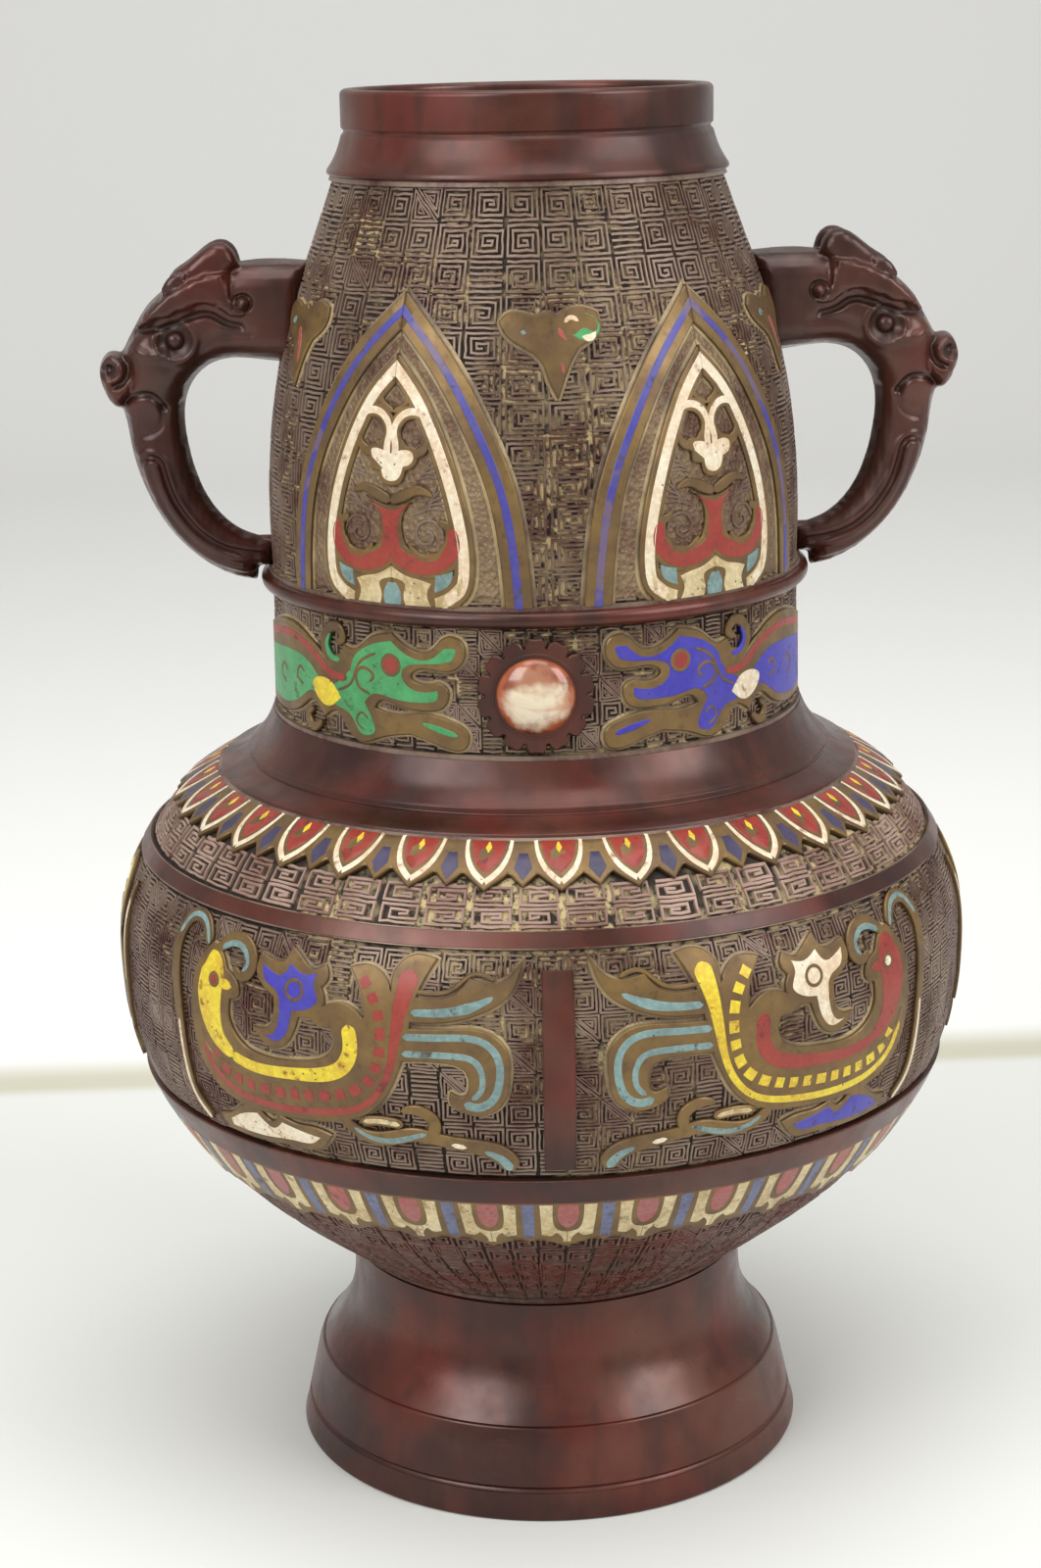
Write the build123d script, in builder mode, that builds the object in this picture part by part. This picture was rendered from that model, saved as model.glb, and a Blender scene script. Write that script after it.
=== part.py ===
"""Bronze baluster vase with enamel inlays and two elephant-head handles.

The frame is +Z up, with the origin on the floor at the vase's axis. The handles lie on +X and -X,
and the front of the decoration faces -Y. Lengths are in millimetres and angles in degrees.
"""

from build123d import *
import os
from math import cos, hypot, radians, sin

os.makedirs("parts", exist_ok=True)

# ---------------------------------------------------------------- driving dimensions
wall = 2.6                    # cast bronze wall, measured square to the surface

# Heights of the stacked castings, from the floor up.
foot_height = 45.5
bowl_height = 48.5            # lower half of the body, up to the seam below the belly ornament
upper_body_height = 66.0      # upper half of the body, up to the shoulder ring
shoulder_ring_height = 12.5
band_height = 31.0            # cylinder with the dragons and the stones, up to the top of the bead
neck_height = 84.0            # tapering neck with the lappets
rim_height = 17.5

# Outer radii.
base_radius = 58.0
foot_edge_radius = 53.5       # sharp edge at the top of the foot's flared skirt
foot_neck_radius = 45.0
belly_radius = 95.0
shoulder_radius = 71.0        # where the shoulder ring sits on the body
neck_radius = 58.5
throat_radius = 42.3          # top of the neck, under the rim
mouth_radius = 39.5

# Foot.
skirt_height = 20.3
skirt_line_height = 6.8       # turned line around the skirt
turned_line = 0.7             # width and depth of a turned line
rest_ring_width = 6.0         # flat ring that the vase stands on
plate_thickness = 1.6
plate_recess = 4.0            # the base plate's distance above the floor
plate_ledge = 2.5
plate_clearance = 0.1
foot_joint_width = 4.0        # width of the solder joint between foot and bowl

# Body.
widest_rise = 72.5            # height of the widest ring above the foot
shoulder_joint_width = 5.0

# Shoulder ring, bead and rim.
ring_step_share = 0.472       # how far out the ring's step lies, from the neck to the ring's edge
ring_step_rise = 2.8
ring_step_height = 1.4
bead_height = 3.5
bead_bulge = 1.5
mouth_bore_radius = 36.5
bore_length = 10.0
rim_overhang = 0.5
rim_line_rise = 8.8           # turned line between the rim's cove and its band
lip_radius = 1.2

# Handles.
handle_stand = 34.5           # from the side of the neck's foot to the tip of the snout
trunk_width = 12.6
trunk_depth = 12.0
head_depth = 18.0
head_round = 3.6
snout_radius = 6.4
snout_depth = 13.0
rivet_radius = 2.2
rivet_head_radius = 4.2
rivet_head_height = 1.4
rivet_grip = 9.0              # how far a rivet reaches into the handle
upper_rivet_drop = 29.0       # below the underside of the rim
trunk_rise = 3.2              # the root of the trunk above the top of the band
lower_rivet_rise = 1.6        # above the root of the trunk
solder_gap = 0.05             # between a handle and the neck
eye_radius = 2.9
eye_back = 17.0               # behind the tip of the snout
eye_drop = 4.2                # below the upper rivet
eye_sink = 1.0

# Agate stones and their rosettes.
stone_radius = 8.1
stone_dome = 3.2
rosette_radius = 9.8
rosette_lobes = 14
rosette_lobe_radius = 2.4
rosette_proud = 1.2
stone_seat = 0.9              # how deep the stone sits in its rosette
stone_clearance = 0.05

# Enamel.
enamel_depth = 1.0
enamel_edge = 0.5             # metal left between an inlay and the end of its casting
lappet_half_width = 28.8
lappet_height = 62.5
lappet_stripe = 2.2
medallion_half_width = 17.5
medallion_height = 49.0
medallion_foot = 3.0
lappet_spread = 34.5          # angle from the front to the middle of each lappet
trefoil_reach = 8.5           # half its width
trefoil_stem = 9.0
dragon_spread = 33.0
dragon_length = 34.0
dragon_width = 4.4
bird_spread = 30.0
bird_length = 52.0
bird_width = 7.0
petal_count = 33
petal_height = 7.0
petal_half_width = 5.6
petal_line = 1.3
tongue_count = 33
tongue_height = 10.5
tongue_half_width = 3.6
tongue_line = 1.3
tongue_drop = 6.4             # gap between the tongues and the seam of the body

# ---------------------------------------------------------------- levels worked out from them
bowl_z = foot_height
seam_z = bowl_z + bowl_height
shoulder_z = seam_z + upper_body_height
band_z = shoulder_z + shoulder_ring_height
neck_z = band_z + band_height
rim_z = neck_z + neck_height
mouth_z = rim_z + rim_height
widest_z = bowl_z + widest_rise
stone_z = band_z + (band_height - bead_height) / 2
handle_reach = neck_radius + handle_stand
ring_step_radius = neck_radius + (shoulder_radius - neck_radius) * ring_step_share


# ---------------------------------------------------------------- shared outlines
def between(start, end, shape):
    """Points of a curve from start to end; shape holds (fraction of rise, fraction of radius)."""
    (r0, z0), (r1, z1) = start, end
    return [(r0 + (r1 - r0) * fr, z0 + (z1 - z0) * fz) for fz, fr in shape]


def inset(points, depth, first_width, last_width):
    """The outline moved inward by depth, with level ends of the given widths."""
    moved = [(points[0][0] - first_width, points[0][1])]
    for (ra, za), (r, z), (rb, zb) in zip(points, points[1:], points[2:]):
        run = hypot(rb - ra, zb - za)
        moved.append((r - depth * (zb - za) / run, z + depth * (rb - ra) / run))
    moved.append((points[-1][0] - last_width, points[-1][1]))
    return moved


bowl_curve = [(0, 0), (0.145, 0.28), (0.34, 0.60), (0.56, 0.835), (0.78, 0.965), (1, 1)]
shoulder_curve = [(0.38, 0.075), (0.70, 0.375), (0.86, 0.61), (1, 1)]
neck_curve = [(0, 0), (0.28, 0.015), (0.55, 0.22), (0.69, 0.42), (0.86, 0.74), (1, 1)]

body_outline = between((foot_neck_radius, bowl_z), (belly_radius, widest_z), bowl_curve)
body_outline += between((belly_radius, widest_z), (shoulder_radius, shoulder_z), shoulder_curve)
neck_outline = between((neck_radius, neck_z), (throat_radius, rim_z), neck_curve)


def shell(outline, depth, first_width, last_width):
    """A revolved shell between a smooth outline and the same outline moved inward."""
    inner = inset(outline, depth, first_width, last_width)
    with BuildPart() as made:
        with BuildSketch(Plane.XZ):
            with BuildLine():
                Spline(*outline)
                Line(outline[-1], inner[-1])
                Spline(*inner[::-1])
                Line(inner[0], outline[0])
            make_face()
        revolve(axis=Axis.Z)
    return made.part


def level_disc(radius, low, high):
    """A disc about the vase's axis between two levels."""
    with BuildPart() as made:
        with BuildSketch(Plane.XY.offset(low)):
            Circle(radius)
        extrude(amount=high - low)
    return made.part


def radial_plane(turn):
    """An upright plane through the axis that looks outward at an angle from the front."""
    a = radians(turn)
    return Plane(origin=(0, 0, 0), x_dir=(cos(a), sin(a), 0), z_dir=(sin(a), -cos(a), 0))


def even_turns(count, first=0.0):
    return [first + 360 * i / count for i in range(count)]


# ---------------------------------------------------------------- foot
skirt_radius_at_line = base_radius + (foot_edge_radius - base_radius) * skirt_line_height / skirt_height
foot_throat = foot_neck_radius - foot_joint_width
plate_radius = base_radius - rest_ring_width

with BuildPart() as foot:
    with BuildSketch(Plane.XZ):
        with BuildLine():
            Polyline(
                (plate_radius, 0),
                (base_radius, 0),
                (skirt_radius_at_line + turned_line / 2, skirt_line_height - turned_line),
                (skirt_radius_at_line - turned_line, skirt_line_height),
                (skirt_radius_at_line, skirt_line_height + turned_line),
                (foot_edge_radius, skirt_height),
            )
            Spline(
                (foot_edge_radius, skirt_height),
                ((foot_edge_radius + foot_neck_radius) / 2 - 1.6, skirt_height + 7.0),
                (foot_neck_radius + 0.2, skirt_height + 14.0),
                (foot_neck_radius, foot_height),
            )
            Polyline(
                (foot_neck_radius, foot_height),
                (foot_throat, foot_height),
                (foot_throat, skirt_height + 10.0),
                (foot_edge_radius - wall - 2.0, skirt_height - wall),
                (plate_radius - plate_ledge, plate_recess + plate_thickness),
                (plate_radius, plate_recess + plate_thickness),
                (plate_radius, 0),
            )
        make_face()
    revolve(axis=Axis.Z)

with BuildPart() as base_plate:
    with BuildSketch(Plane.XY.offset(plate_recess)):
        Circle(plate_radius - plate_clearance)
    extrude(amount=plate_thickness)

# ---------------------------------------------------------------- body
body_shell = shell(body_outline, wall, foot_joint_width, shoulder_joint_width)
body_skin = shell(body_outline, enamel_depth, enamel_depth, enamel_depth)

# ---------------------------------------------------------------- shoulder ring
ring_step_z = shoulder_z + ring_step_rise
ring_cove = [
    (ring_step_radius, ring_step_z + ring_step_height),
    (neck_radius + (ring_step_radius - neck_radius) * 0.44, shoulder_z + shoulder_ring_height * 0.6),
    (neck_radius, band_z),
]
with BuildPart() as shoulder_ring:
    with BuildSketch(Plane.XZ):
        with BuildLine():
            Polyline((shoulder_radius, shoulder_z), (ring_step_radius, ring_step_z), ring_cove[0])
            Spline(*ring_cove)
            Polyline(
                ring_cove[-1],
                (neck_radius - wall, band_z),
                (neck_radius - wall, ring_step_z + ring_step_height),
                (shoulder_radius - shoulder_joint_width, shoulder_z),
                (shoulder_radius, shoulder_z),
            )
        make_face()
    revolve(axis=Axis.Z)

# ---------------------------------------------------------------- neck and its outer layer
neck_shell_blank = shell(neck_outline, wall, wall, wall)
neck_skin = shell(neck_outline, enamel_depth, enamel_depth, enamel_depth)


def band_ring(outer, inner):
    """The straight cylinder between the shoulder ring and the neck."""
    with BuildPart() as made:
        with BuildSketch(Plane.XY.offset(band_z)):
            Circle(outer)
            Circle(inner, mode=Mode.SUBTRACT)
        extrude(amount=band_height)
    return made.part


band_skin = band_ring(neck_radius, neck_radius - enamel_depth)

# The bead is a half-round wire soldered around the top edge of the band.
with BuildPart() as neck_bead:
    with BuildSketch(Plane.XZ):
        with BuildLine():
            Line((neck_radius, neck_z - bead_height), (neck_radius, neck_z))
            ThreePointArc(
                (neck_radius, neck_z),
                (neck_radius + bead_bulge, neck_z - bead_height / 2),
                (neck_radius, neck_z - bead_height),
            )
        make_face()
    revolve(axis=Axis.Z)

# ---------------------------------------------------------------- rim
rim_line_z = rim_z + rim_line_rise
with BuildPart() as mouth_rim:
    with BuildSketch(Plane.XZ) as rim_section:
        with BuildLine():
            Line((throat_radius - wall, rim_z), (throat_radius + rim_overhang, rim_z))
            Line((throat_radius + rim_overhang, rim_z), (throat_radius + rim_overhang, rim_z + 0.8))
            Spline(
                (throat_radius + rim_overhang, rim_z + 0.8),
                ((throat_radius + mouth_radius) / 2, rim_z + rim_line_rise * 0.45),
                (mouth_radius, rim_line_z - turned_line),
            )
            Polyline(
                (mouth_radius, rim_line_z - turned_line),
                (mouth_radius - turned_line, rim_line_z),
                (mouth_radius, rim_line_z + turned_line),
                (mouth_radius, mouth_z),
                (mouth_bore_radius, mouth_z),
                (mouth_bore_radius, mouth_z - lip_radius - bore_length),
                (throat_radius - wall, rim_z),
            )
        make_face()
        fillet(rim_section.vertices().group_by(Axis.Y)[-1], lip_radius)
    revolve(axis=Axis.Z)

# ---------------------------------------------------------------- handles
upper_rivet_z = rim_z - upper_rivet_drop
trunk_z = neck_z + trunk_rise
lower_rivet_z = trunk_z + lower_rivet_rise
trunk_top_z = trunk_z + 33.0
trunk_axis_radius = handle_reach - 10.8
head_inner = neck_radius - 12.0       # hidden inside the neck until the handle is trimmed to it

with BuildPart() as trunk:
    with BuildLine(Plane.XZ) as trunk_line:
        Spline(
            (neck_radius - 2.0, trunk_z - 2.0),
            (neck_radius + 9.0, trunk_z + 0.5),
            (trunk_axis_radius - 7.4, trunk_z + 7.0),
            (trunk_axis_radius - 1.8, trunk_z + 18.5),
            (trunk_axis_radius, trunk_top_z),
        )
    with BuildSketch(Plane(trunk_line.line @ 0, x_dir=(0, 1, 0), z_dir=trunk_line.line % 0)):
        RectangleRounded(trunk_depth, trunk_width, 4.0)
    sweep()

with BuildPart() as head:
    with BuildSketch(Plane.XZ):
        with BuildLine():
            Spline(
                (head_inner, upper_rivet_z + 10.6),
                (neck_radius, upper_rivet_z + 11.6),
                (neck_radius + 14.0, upper_rivet_z + 9.2),
                (handle_reach - 8.6, upper_rivet_z - 1.6),
                (handle_reach - 5.2, upper_rivet_z - 12.0),
                (handle_reach - 5.0, upper_rivet_z - 20.0),
            )
            Line((handle_reach - 5.0, upper_rivet_z - 20.0), (handle_reach - 17.4, upper_rivet_z - 20.6))
            Spline(
                (handle_reach - 17.4, upper_rivet_z - 20.6),
                (handle_reach - 19.8, upper_rivet_z - 13.6),
                (handle_reach - 26.0, upper_rivet_z - 10.2),
                (head_inner, upper_rivet_z - 11.4),
            )
            Line((head_inner, upper_rivet_z - 11.4), (head_inner, upper_rivet_z + 10.6))
        make_face()
    extrude(amount=head_depth / 2, both=True)
    side_edges = head.faces().filter_by(Axis.Y).edges()
    fillet(side_edges.filter_by(GeomType.BSPLINE), head_round)

with BuildPart() as snout:
    with BuildSketch(Plane.XZ):
        with Locations((handle_reach - snout_radius, upper_rivet_z - 13.4)):
            Circle(snout_radius)
    extrude(amount=snout_depth / 2, both=True)
    fillet(snout.edges(), 3.0)

with BuildPart() as horns:
    with BuildSketch(Plane.XZ):
        with BuildLine():
            Polyline(
                (neck_radius + 2.0, upper_rivet_z + 8.0),
                (neck_radius + 3.5, upper_rivet_z + 15.2),
                (neck_radius + 8.0, upper_rivet_z + 14.4),
                (neck_radius + 18.6, upper_rivet_z + 7.4),
                (neck_radius + 17.0, upper_rivet_z + 4.0),
                close=True,
            )
        make_face()
    extrude(amount=head_depth / 2 - 1.0, both=True)
    fillet(horns.edges().filter_by(Axis.Y), 1.2)
    with BuildSketch(Plane.XZ.offset(0)):
        with Locations((neck_radius + 9.0, upper_rivet_z + 13.0)):
            Rectangle(30.0, 14.0)
    extrude(amount=2.0, both=True, mode=Mode.SUBTRACT)


def solid_inside(outline, depth):
    """The solid of revolution inside an outline that is first moved inward by depth."""
    inner = inset(outline, depth, depth, depth)
    with BuildPart() as made:
        with BuildSketch(Plane.XZ):
            with BuildLine():
                Spline(*inner)
                Polyline(inner[-1], (0, inner[-1][1]), (0, inner[0][1]), inner[0])
            make_face()
        revolve(axis=Axis.Z)
    return made.part


def radial_rods(radius, start, end):
    """Two rods along +X, one at each rivet."""
    with BuildPart() as made:
        with BuildSketch(Plane.YZ.offset(start)):
            with Locations((0, upper_rivet_z), (0, lower_rivet_z)):
                Circle(radius)
        extrude(amount=end - start)
    return made.part


# Each rivet runs from its flat head inside the neck, through the wall, into the handle.
rivet_holes = radial_rods(rivet_radius, throat_radius - wall, neck_radius + rivet_grip)

with BuildPart() as rivet_heads:
    add(radial_rods(rivet_head_radius, throat_radius - wall, neck_radius))
    add(solid_inside(neck_outline, wall), mode=Mode.INTERSECT)

with BuildPart() as handle_rivets:
    add(rivet_holes)
    add(rivet_heads.part)
    add(solid_inside(neck_outline, wall + rivet_head_height), mode=Mode.SUBTRACT)
    mirror(about=Plane.YZ)

with BuildPart() as handle_right:
    add(trunk.part)
    add(head.part)
    add(snout.part)
    add(horns.part)
    with Locations(
        (handle_reach - eye_back, head_depth / 2 - eye_sink, upper_rivet_z - eye_drop),
        (handle_reach - eye_back, eye_sink - head_depth / 2, upper_rivet_z - eye_drop),
    ):
        Sphere(eye_radius)
    add(solid_inside(neck_outline, -solder_gap), mode=Mode.SUBTRACT)
    add(level_disc(neck_radius + bead_bulge + solder_gap, band_z, neck_z), mode=Mode.SUBTRACT)
    add(rivet_holes, mode=Mode.SUBTRACT)

with BuildPart() as handle_left:
    add(handle_right.part)
    mirror(about=Plane.YZ, mode=Mode.REPLACE)

# ---------------------------------------------------------------- agate stones
stone_floor = neck_radius + rosette_proud - stone_seat
dome_sphere = (stone_radius ** 2 + stone_dome ** 2) / (2 * stone_dome)
stone_girdle = stone_floor + stone_seat

with BuildPart() as front_stone:
    with BuildSketch(Plane.XY.offset(stone_z)):
        with BuildLine():
            Polyline((0, -stone_girdle - stone_dome), (0, -stone_floor), (stone_radius, -stone_floor))
            Line((stone_radius, -stone_floor), (stone_radius, -stone_girdle))
            RadiusArc((stone_radius, -stone_girdle), (0, -stone_girdle - stone_dome), dome_sphere)
        make_face()
    revolve(axis=Axis((0, 0, stone_z), (0, -1, 0)))

with BuildPart() as front_rosette:
    with BuildSketch(Plane(origin=(0, -neck_radius - rosette_proud, stone_z), z_dir=(0, 1, 0))):
        Circle(rosette_radius)
        with PolarLocations(rosette_radius - 0.3, rosette_lobes):
            Circle(rosette_lobe_radius)
    extrude(amount=rosette_proud + rosette_lobe_radius)
    with BuildSketch(Plane(origin=(0, -stone_floor, stone_z), z_dir=(0, -1, 0))):
        Circle(stone_radius + stone_clearance)
    extrude(amount=stone_seat, mode=Mode.SUBTRACT)
    add(band_ring(neck_radius, neck_radius - 2 * wall), mode=Mode.SUBTRACT)

# ---------------------------------------------------------------- enamel motifs
reach = 2 * belly_radius


def pointed_arch(half_width, foot, tip):
    """A pointed arch, mirrored about the upright centre line."""
    rise = tip - foot
    with BuildSketch() as made:
        with BuildLine() as half:
            Spline(
                (half_width, foot),
                (half_width * 0.97, foot + rise * 0.18),
                (half_width * 0.70, foot + rise * 0.52),
                (half_width * 0.30, foot + rise * 0.83),
                (0, tip),
            )
            mirror(about=Plane.YZ)
            Line((-half_width, foot), (half_width, foot))
        make_face()
    return made.sketch


def round_foot_drop(half_width, foot, tip):
    """A drop with a pointed tip and a rounded foot."""
    rise = tip - foot
    with BuildSketch() as made:
        with BuildLine():
            Spline(
                (0, foot),
                (half_width * 0.72, foot + rise * 0.05),
                (half_width, foot + rise * 0.22),
                (half_width * 0.80, foot + rise * 0.55),
                (half_width * 0.30, foot + rise * 0.86),
                (0, tip),
                tangents=((1, 0), (-0.8, 1)),
            )
            mirror(about=Plane.YZ)
        make_face()
    return made.sketch


def outward_prism(outline):
    """A front outline drawn outward from the vase's axis."""
    with BuildPart() as made:
        with BuildSketch(radial_plane(0)):
            add(outline)
        extrude(amount=reach)
    return made.part


def copies(solid, turns):
    """A front solid copied to each of several angles."""
    with BuildPart() as made:
        for turn in turns:
            add(solid, rotation=(0, 0, turn))
    return made.part


def inlay(turns, outline, skin):
    """Enamel that fills a skin behind an outline."""
    return copies(outward_prism(outline) & skin, turns)


def cells(turns, outline, core):
    """Cutters that sink an outline down to a core, and reach past the surface."""
    return copies(outward_prism(outline) - core, turns)


def front_and_back(turn):
    return [turn, 180 + turn]


def stroke(width, *points):
    """A band of even width along a smooth curve."""
    with BuildSketch() as made:
        with BuildLine():
            Spline(*points)
        trace(line_width=width)
    return made.sketch


neck_core = solid_inside(neck_outline, enamel_depth)
body_core = solid_inside(body_outline, enamel_depth)
band_core = level_disc(neck_radius - enamel_depth, band_z, neck_z)

# Lappets on the neck: a blue stripe around a white drop with a red heart.
lappet_turns = front_and_back(lappet_spread) + front_and_back(-lappet_spread)
lappet_foot = neck_z + enamel_edge
lappet_tip = neck_z + lappet_height
lappet = pointed_arch(lappet_half_width, lappet_foot, lappet_tip) - pointed_arch(
    lappet_half_width - lappet_stripe, lappet_foot - enamel_edge, lappet_tip - 2.6 * lappet_stripe
)
medallion = round_foot_drop(medallion_half_width, lappet_foot, neck_z + medallion_height)
fleur = round_foot_drop(
    medallion_half_width * 0.45, lappet_foot + medallion_foot, neck_z + medallion_height / 2
)

# Trefoil leaves between the lappets: two side lobes, a small top lobe and a pointed stem.
trefoil_z = neck_z + lappet_height - trefoil_reach
trefoil_turns = front_and_back(0) + front_and_back(2 * lappet_spread) + front_and_back(-2 * lappet_spread)
trefoil_half = [
    (0, trefoil_z + trefoil_reach * 0.8),
    (trefoil_reach * 0.32, trefoil_z + trefoil_reach * 0.36),
    (trefoil_reach * 0.72, trefoil_z + trefoil_reach * 0.48),
    (trefoil_reach, trefoil_z + trefoil_reach * 0.14),
    (trefoil_reach * 0.36, trefoil_z - trefoil_reach * 0.3),
    (0, trefoil_z - trefoil_stem),
]
with BuildSketch() as trefoil:
    with BuildLine():
        Polyline(*trefoil_half)
        mirror(about=Plane.YZ)
    make_face()

# Dragons on the band, facing the agate stones.
right_dragon = stroke(
    dragon_width,
    (-dragon_length * 0.36, stone_z + 6.5),
    (-dragon_length * 0.10, stone_z + 4.0),
    (dragon_length * 0.22, stone_z + 6.0),
    (dragon_length * 0.42, stone_z - 0.5),
    (dragon_length * 0.12, stone_z - 6.5),
    (-dragon_length * 0.36, stone_z - 7.5),
)
left_dragon = mirror(right_dragon, about=Plane.YZ)

# Birds on the belly, either side of a plain bar, each over a cloud.
right_bird = stroke(
    bird_width,
    (bird_length * 0.50, widest_z + 12.5),
    (bird_length * 0.54, widest_z + 4.0),
    (bird_length * 0.42, widest_z - 6.0),
    (0, widest_z - 8.5),
    (-bird_length * 0.24, widest_z - 2.0),
    (-bird_length * 0.44, widest_z + 19.0),
)
left_bird = mirror(right_bird, about=Plane.YZ)
with BuildSketch() as right_cloud:
    with Locations((bird_length * 0.28, seam_z + 6.5)):
        Ellipse(bird_length * 0.19, 3.6)
left_cloud = mirror(right_cloud.sketch, about=Plane.YZ)

# Petals below the shoulder ring, pointing down.
petal_top = shoulder_z - enamel_edge
petal_turns = even_turns(petal_count)
petal = mirror(pointed_arch(petal_half_width, -petal_top, petal_height - petal_top), about=Plane.XZ)
petal_core = mirror(
    pointed_arch(
        petal_half_width - petal_line, petal_line - petal_top, petal_height - 2 * petal_line - petal_top
    ),
    about=Plane.XZ,
)

# Tongues under the seam.
tongue_turns = even_turns(tongue_count)
tongue_z = seam_z - tongue_drop - tongue_height / 2
with BuildSketch() as tongue:
    with Locations((0, tongue_z)):
        SlotOverall(tongue_height, 2 * tongue_half_width, rotation=90)
with BuildSketch() as tongue_core:
    with Locations((0, tongue_z)):
        SlotOverall(tongue_height - 2 * tongue_line, 2 * (tongue_half_width - tongue_line), rotation=90)

# ---------------------------------------------------------------- castings with their cells cut
left_turns = front_and_back(-dragon_spread)
right_turns = front_and_back(dragon_spread)
left_bird_turns = front_and_back(-bird_spread)
right_bird_turns = front_and_back(bird_spread)

with BuildPart() as neck:
    add(neck_shell_blank)
    for outline, turns in (
        (lappet, lappet_turns),
        (medallion, lappet_turns),
        (trefoil.sketch, trefoil_turns),
    ):
        add(cells(turns, outline, neck_core), mode=Mode.SUBTRACT)
    add(handle_rivets.part, mode=Mode.SUBTRACT)

with BuildPart() as neck_band:
    add(band_ring(neck_radius, neck_radius - wall))
    for outline, turns in ((left_dragon, left_turns), (right_dragon, right_turns)):
        add(cells(turns, outline, band_core), mode=Mode.SUBTRACT)

with BuildPart() as upper_body:
    add(body_shell)
    add(level_disc(reach, seam_z, shoulder_z), mode=Mode.INTERSECT)
    for outline, turns in (
        (left_bird, left_bird_turns),
        (right_bird, right_bird_turns),
        (left_cloud, left_bird_turns),
        (right_cloud.sketch, right_bird_turns),
        (petal, petal_turns),
    ):
        add(cells(turns, outline, body_core), mode=Mode.SUBTRACT)

with BuildPart() as lower_body:
    add(body_shell)
    add(level_disc(reach, bowl_z, seam_z), mode=Mode.INTERSECT)
    add(cells(tongue_turns, tongue.sketch, body_core), mode=Mode.SUBTRACT)

# ---------------------------------------------------------------- finished pieces
pieces = {
    "mouth_rim": mouth_rim.part,
    "neck": neck.part,
    "neck_bead": neck_bead.part,
    "neck_band": neck_band.part,
    "shoulder_ring": shoulder_ring.part,
    "upper_body": upper_body.part,
    "lower_body": lower_body.part,
    "foot": foot.part,
    "base_plate": base_plate.part,
    "handle_left": handle_left.part,
    "handle_right": handle_right.part,
    "handle_rivets": handle_rivets.part,
    "stone_front": front_stone.part,
    "stone_back": front_stone.part.rotate(Axis.Z, 180),
    "rosette_front": front_rosette.part,
    "rosette_back": front_rosette.part.rotate(Axis.Z, 180),
    "lappet_enamel": inlay(lappet_turns, lappet, neck_skin),
    "medallion_enamel": inlay(lappet_turns, medallion - fleur, neck_skin),
    "fleur_enamel": inlay(lappet_turns, fleur, neck_skin),
    "trefoil_enamel": inlay(trefoil_turns, trefoil.sketch, neck_skin),
    "left_dragon_enamel": inlay(left_turns, left_dragon, band_skin),
    "right_dragon_enamel": inlay(right_turns, right_dragon, band_skin),
    "left_bird_enamel": inlay(left_bird_turns, left_bird, body_skin),
    "right_bird_enamel": inlay(right_bird_turns, right_bird, body_skin),
    "left_cloud_enamel": inlay(left_bird_turns, left_cloud, body_skin),
    "right_cloud_enamel": inlay(right_bird_turns, right_cloud.sketch, body_skin),
    "petal_enamel": inlay(petal_turns, petal - petal_core, body_skin),
    "petal_core_enamel": inlay(petal_turns, petal_core, body_skin),
    "tongue_enamel": inlay(tongue_turns, tongue.sketch - tongue_core.sketch, body_skin),
    "tongue_core_enamel": inlay(tongue_turns, tongue_core.sketch, body_skin),
}
for label, piece in pieces.items():
    piece.label = label
    export_step(piece, f"parts/{label}.step")
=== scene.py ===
"""Champleve enamel bronze vase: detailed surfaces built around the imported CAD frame.

Lengths in this script are millimetres, and are turned into metres when a mesh is made.
A place on the vase is given as an angle from the front, positive towards +X, and a height.
"""
from math import atan2, cos, hypot, pi, radians, sin, sqrt

import bmesh
import bpy
import numpy as np
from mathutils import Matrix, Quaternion, Vector
from mathutils.geometry import delaunay_2d_cdt


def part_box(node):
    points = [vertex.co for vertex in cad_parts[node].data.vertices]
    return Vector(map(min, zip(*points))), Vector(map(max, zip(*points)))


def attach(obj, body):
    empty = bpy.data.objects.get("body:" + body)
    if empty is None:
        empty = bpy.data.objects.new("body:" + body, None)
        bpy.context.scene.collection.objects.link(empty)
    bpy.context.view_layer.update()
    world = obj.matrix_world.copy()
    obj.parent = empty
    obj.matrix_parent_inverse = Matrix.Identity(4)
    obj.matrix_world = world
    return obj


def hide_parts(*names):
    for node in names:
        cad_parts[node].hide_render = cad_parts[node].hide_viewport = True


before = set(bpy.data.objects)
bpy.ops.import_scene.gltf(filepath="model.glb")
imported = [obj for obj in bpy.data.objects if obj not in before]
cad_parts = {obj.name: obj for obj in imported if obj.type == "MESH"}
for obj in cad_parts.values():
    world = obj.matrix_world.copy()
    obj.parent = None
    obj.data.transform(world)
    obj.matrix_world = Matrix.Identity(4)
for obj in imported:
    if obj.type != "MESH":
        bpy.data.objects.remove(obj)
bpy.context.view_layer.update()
MM = 0.001
random = np.random.default_rng(11)


def level(node, end):
    """Height in mm of the underside (0) or the top (1) of a CAD node."""
    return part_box(node)[end][2] / MM


def reach(node, end=1):
    """Largest distance in mm from the axis to a CAD node's side, along X."""
    return abs(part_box(node)[end][0]) / MM


# ---------------------------------------------------------------- sizes from the frame
foot_top = level("foot", 1)
seam_z = level("lower_body", 1)
shoulder_z = level("upper_body", 1)
band_z = level("neck_band", 0)
neck_z = level("neck", 0)
rim_z = level("neck", 1)
mouth_z = level("mouth_rim", 1)
base_radius = reach("foot")
belly_radius = reach("upper_body")
shoulder_radius = reach("shoulder_ring")
neck_radius = reach("neck_band")
bead_radius = reach("neck_bead")
bead_low = level("neck_bead", 0)

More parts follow.
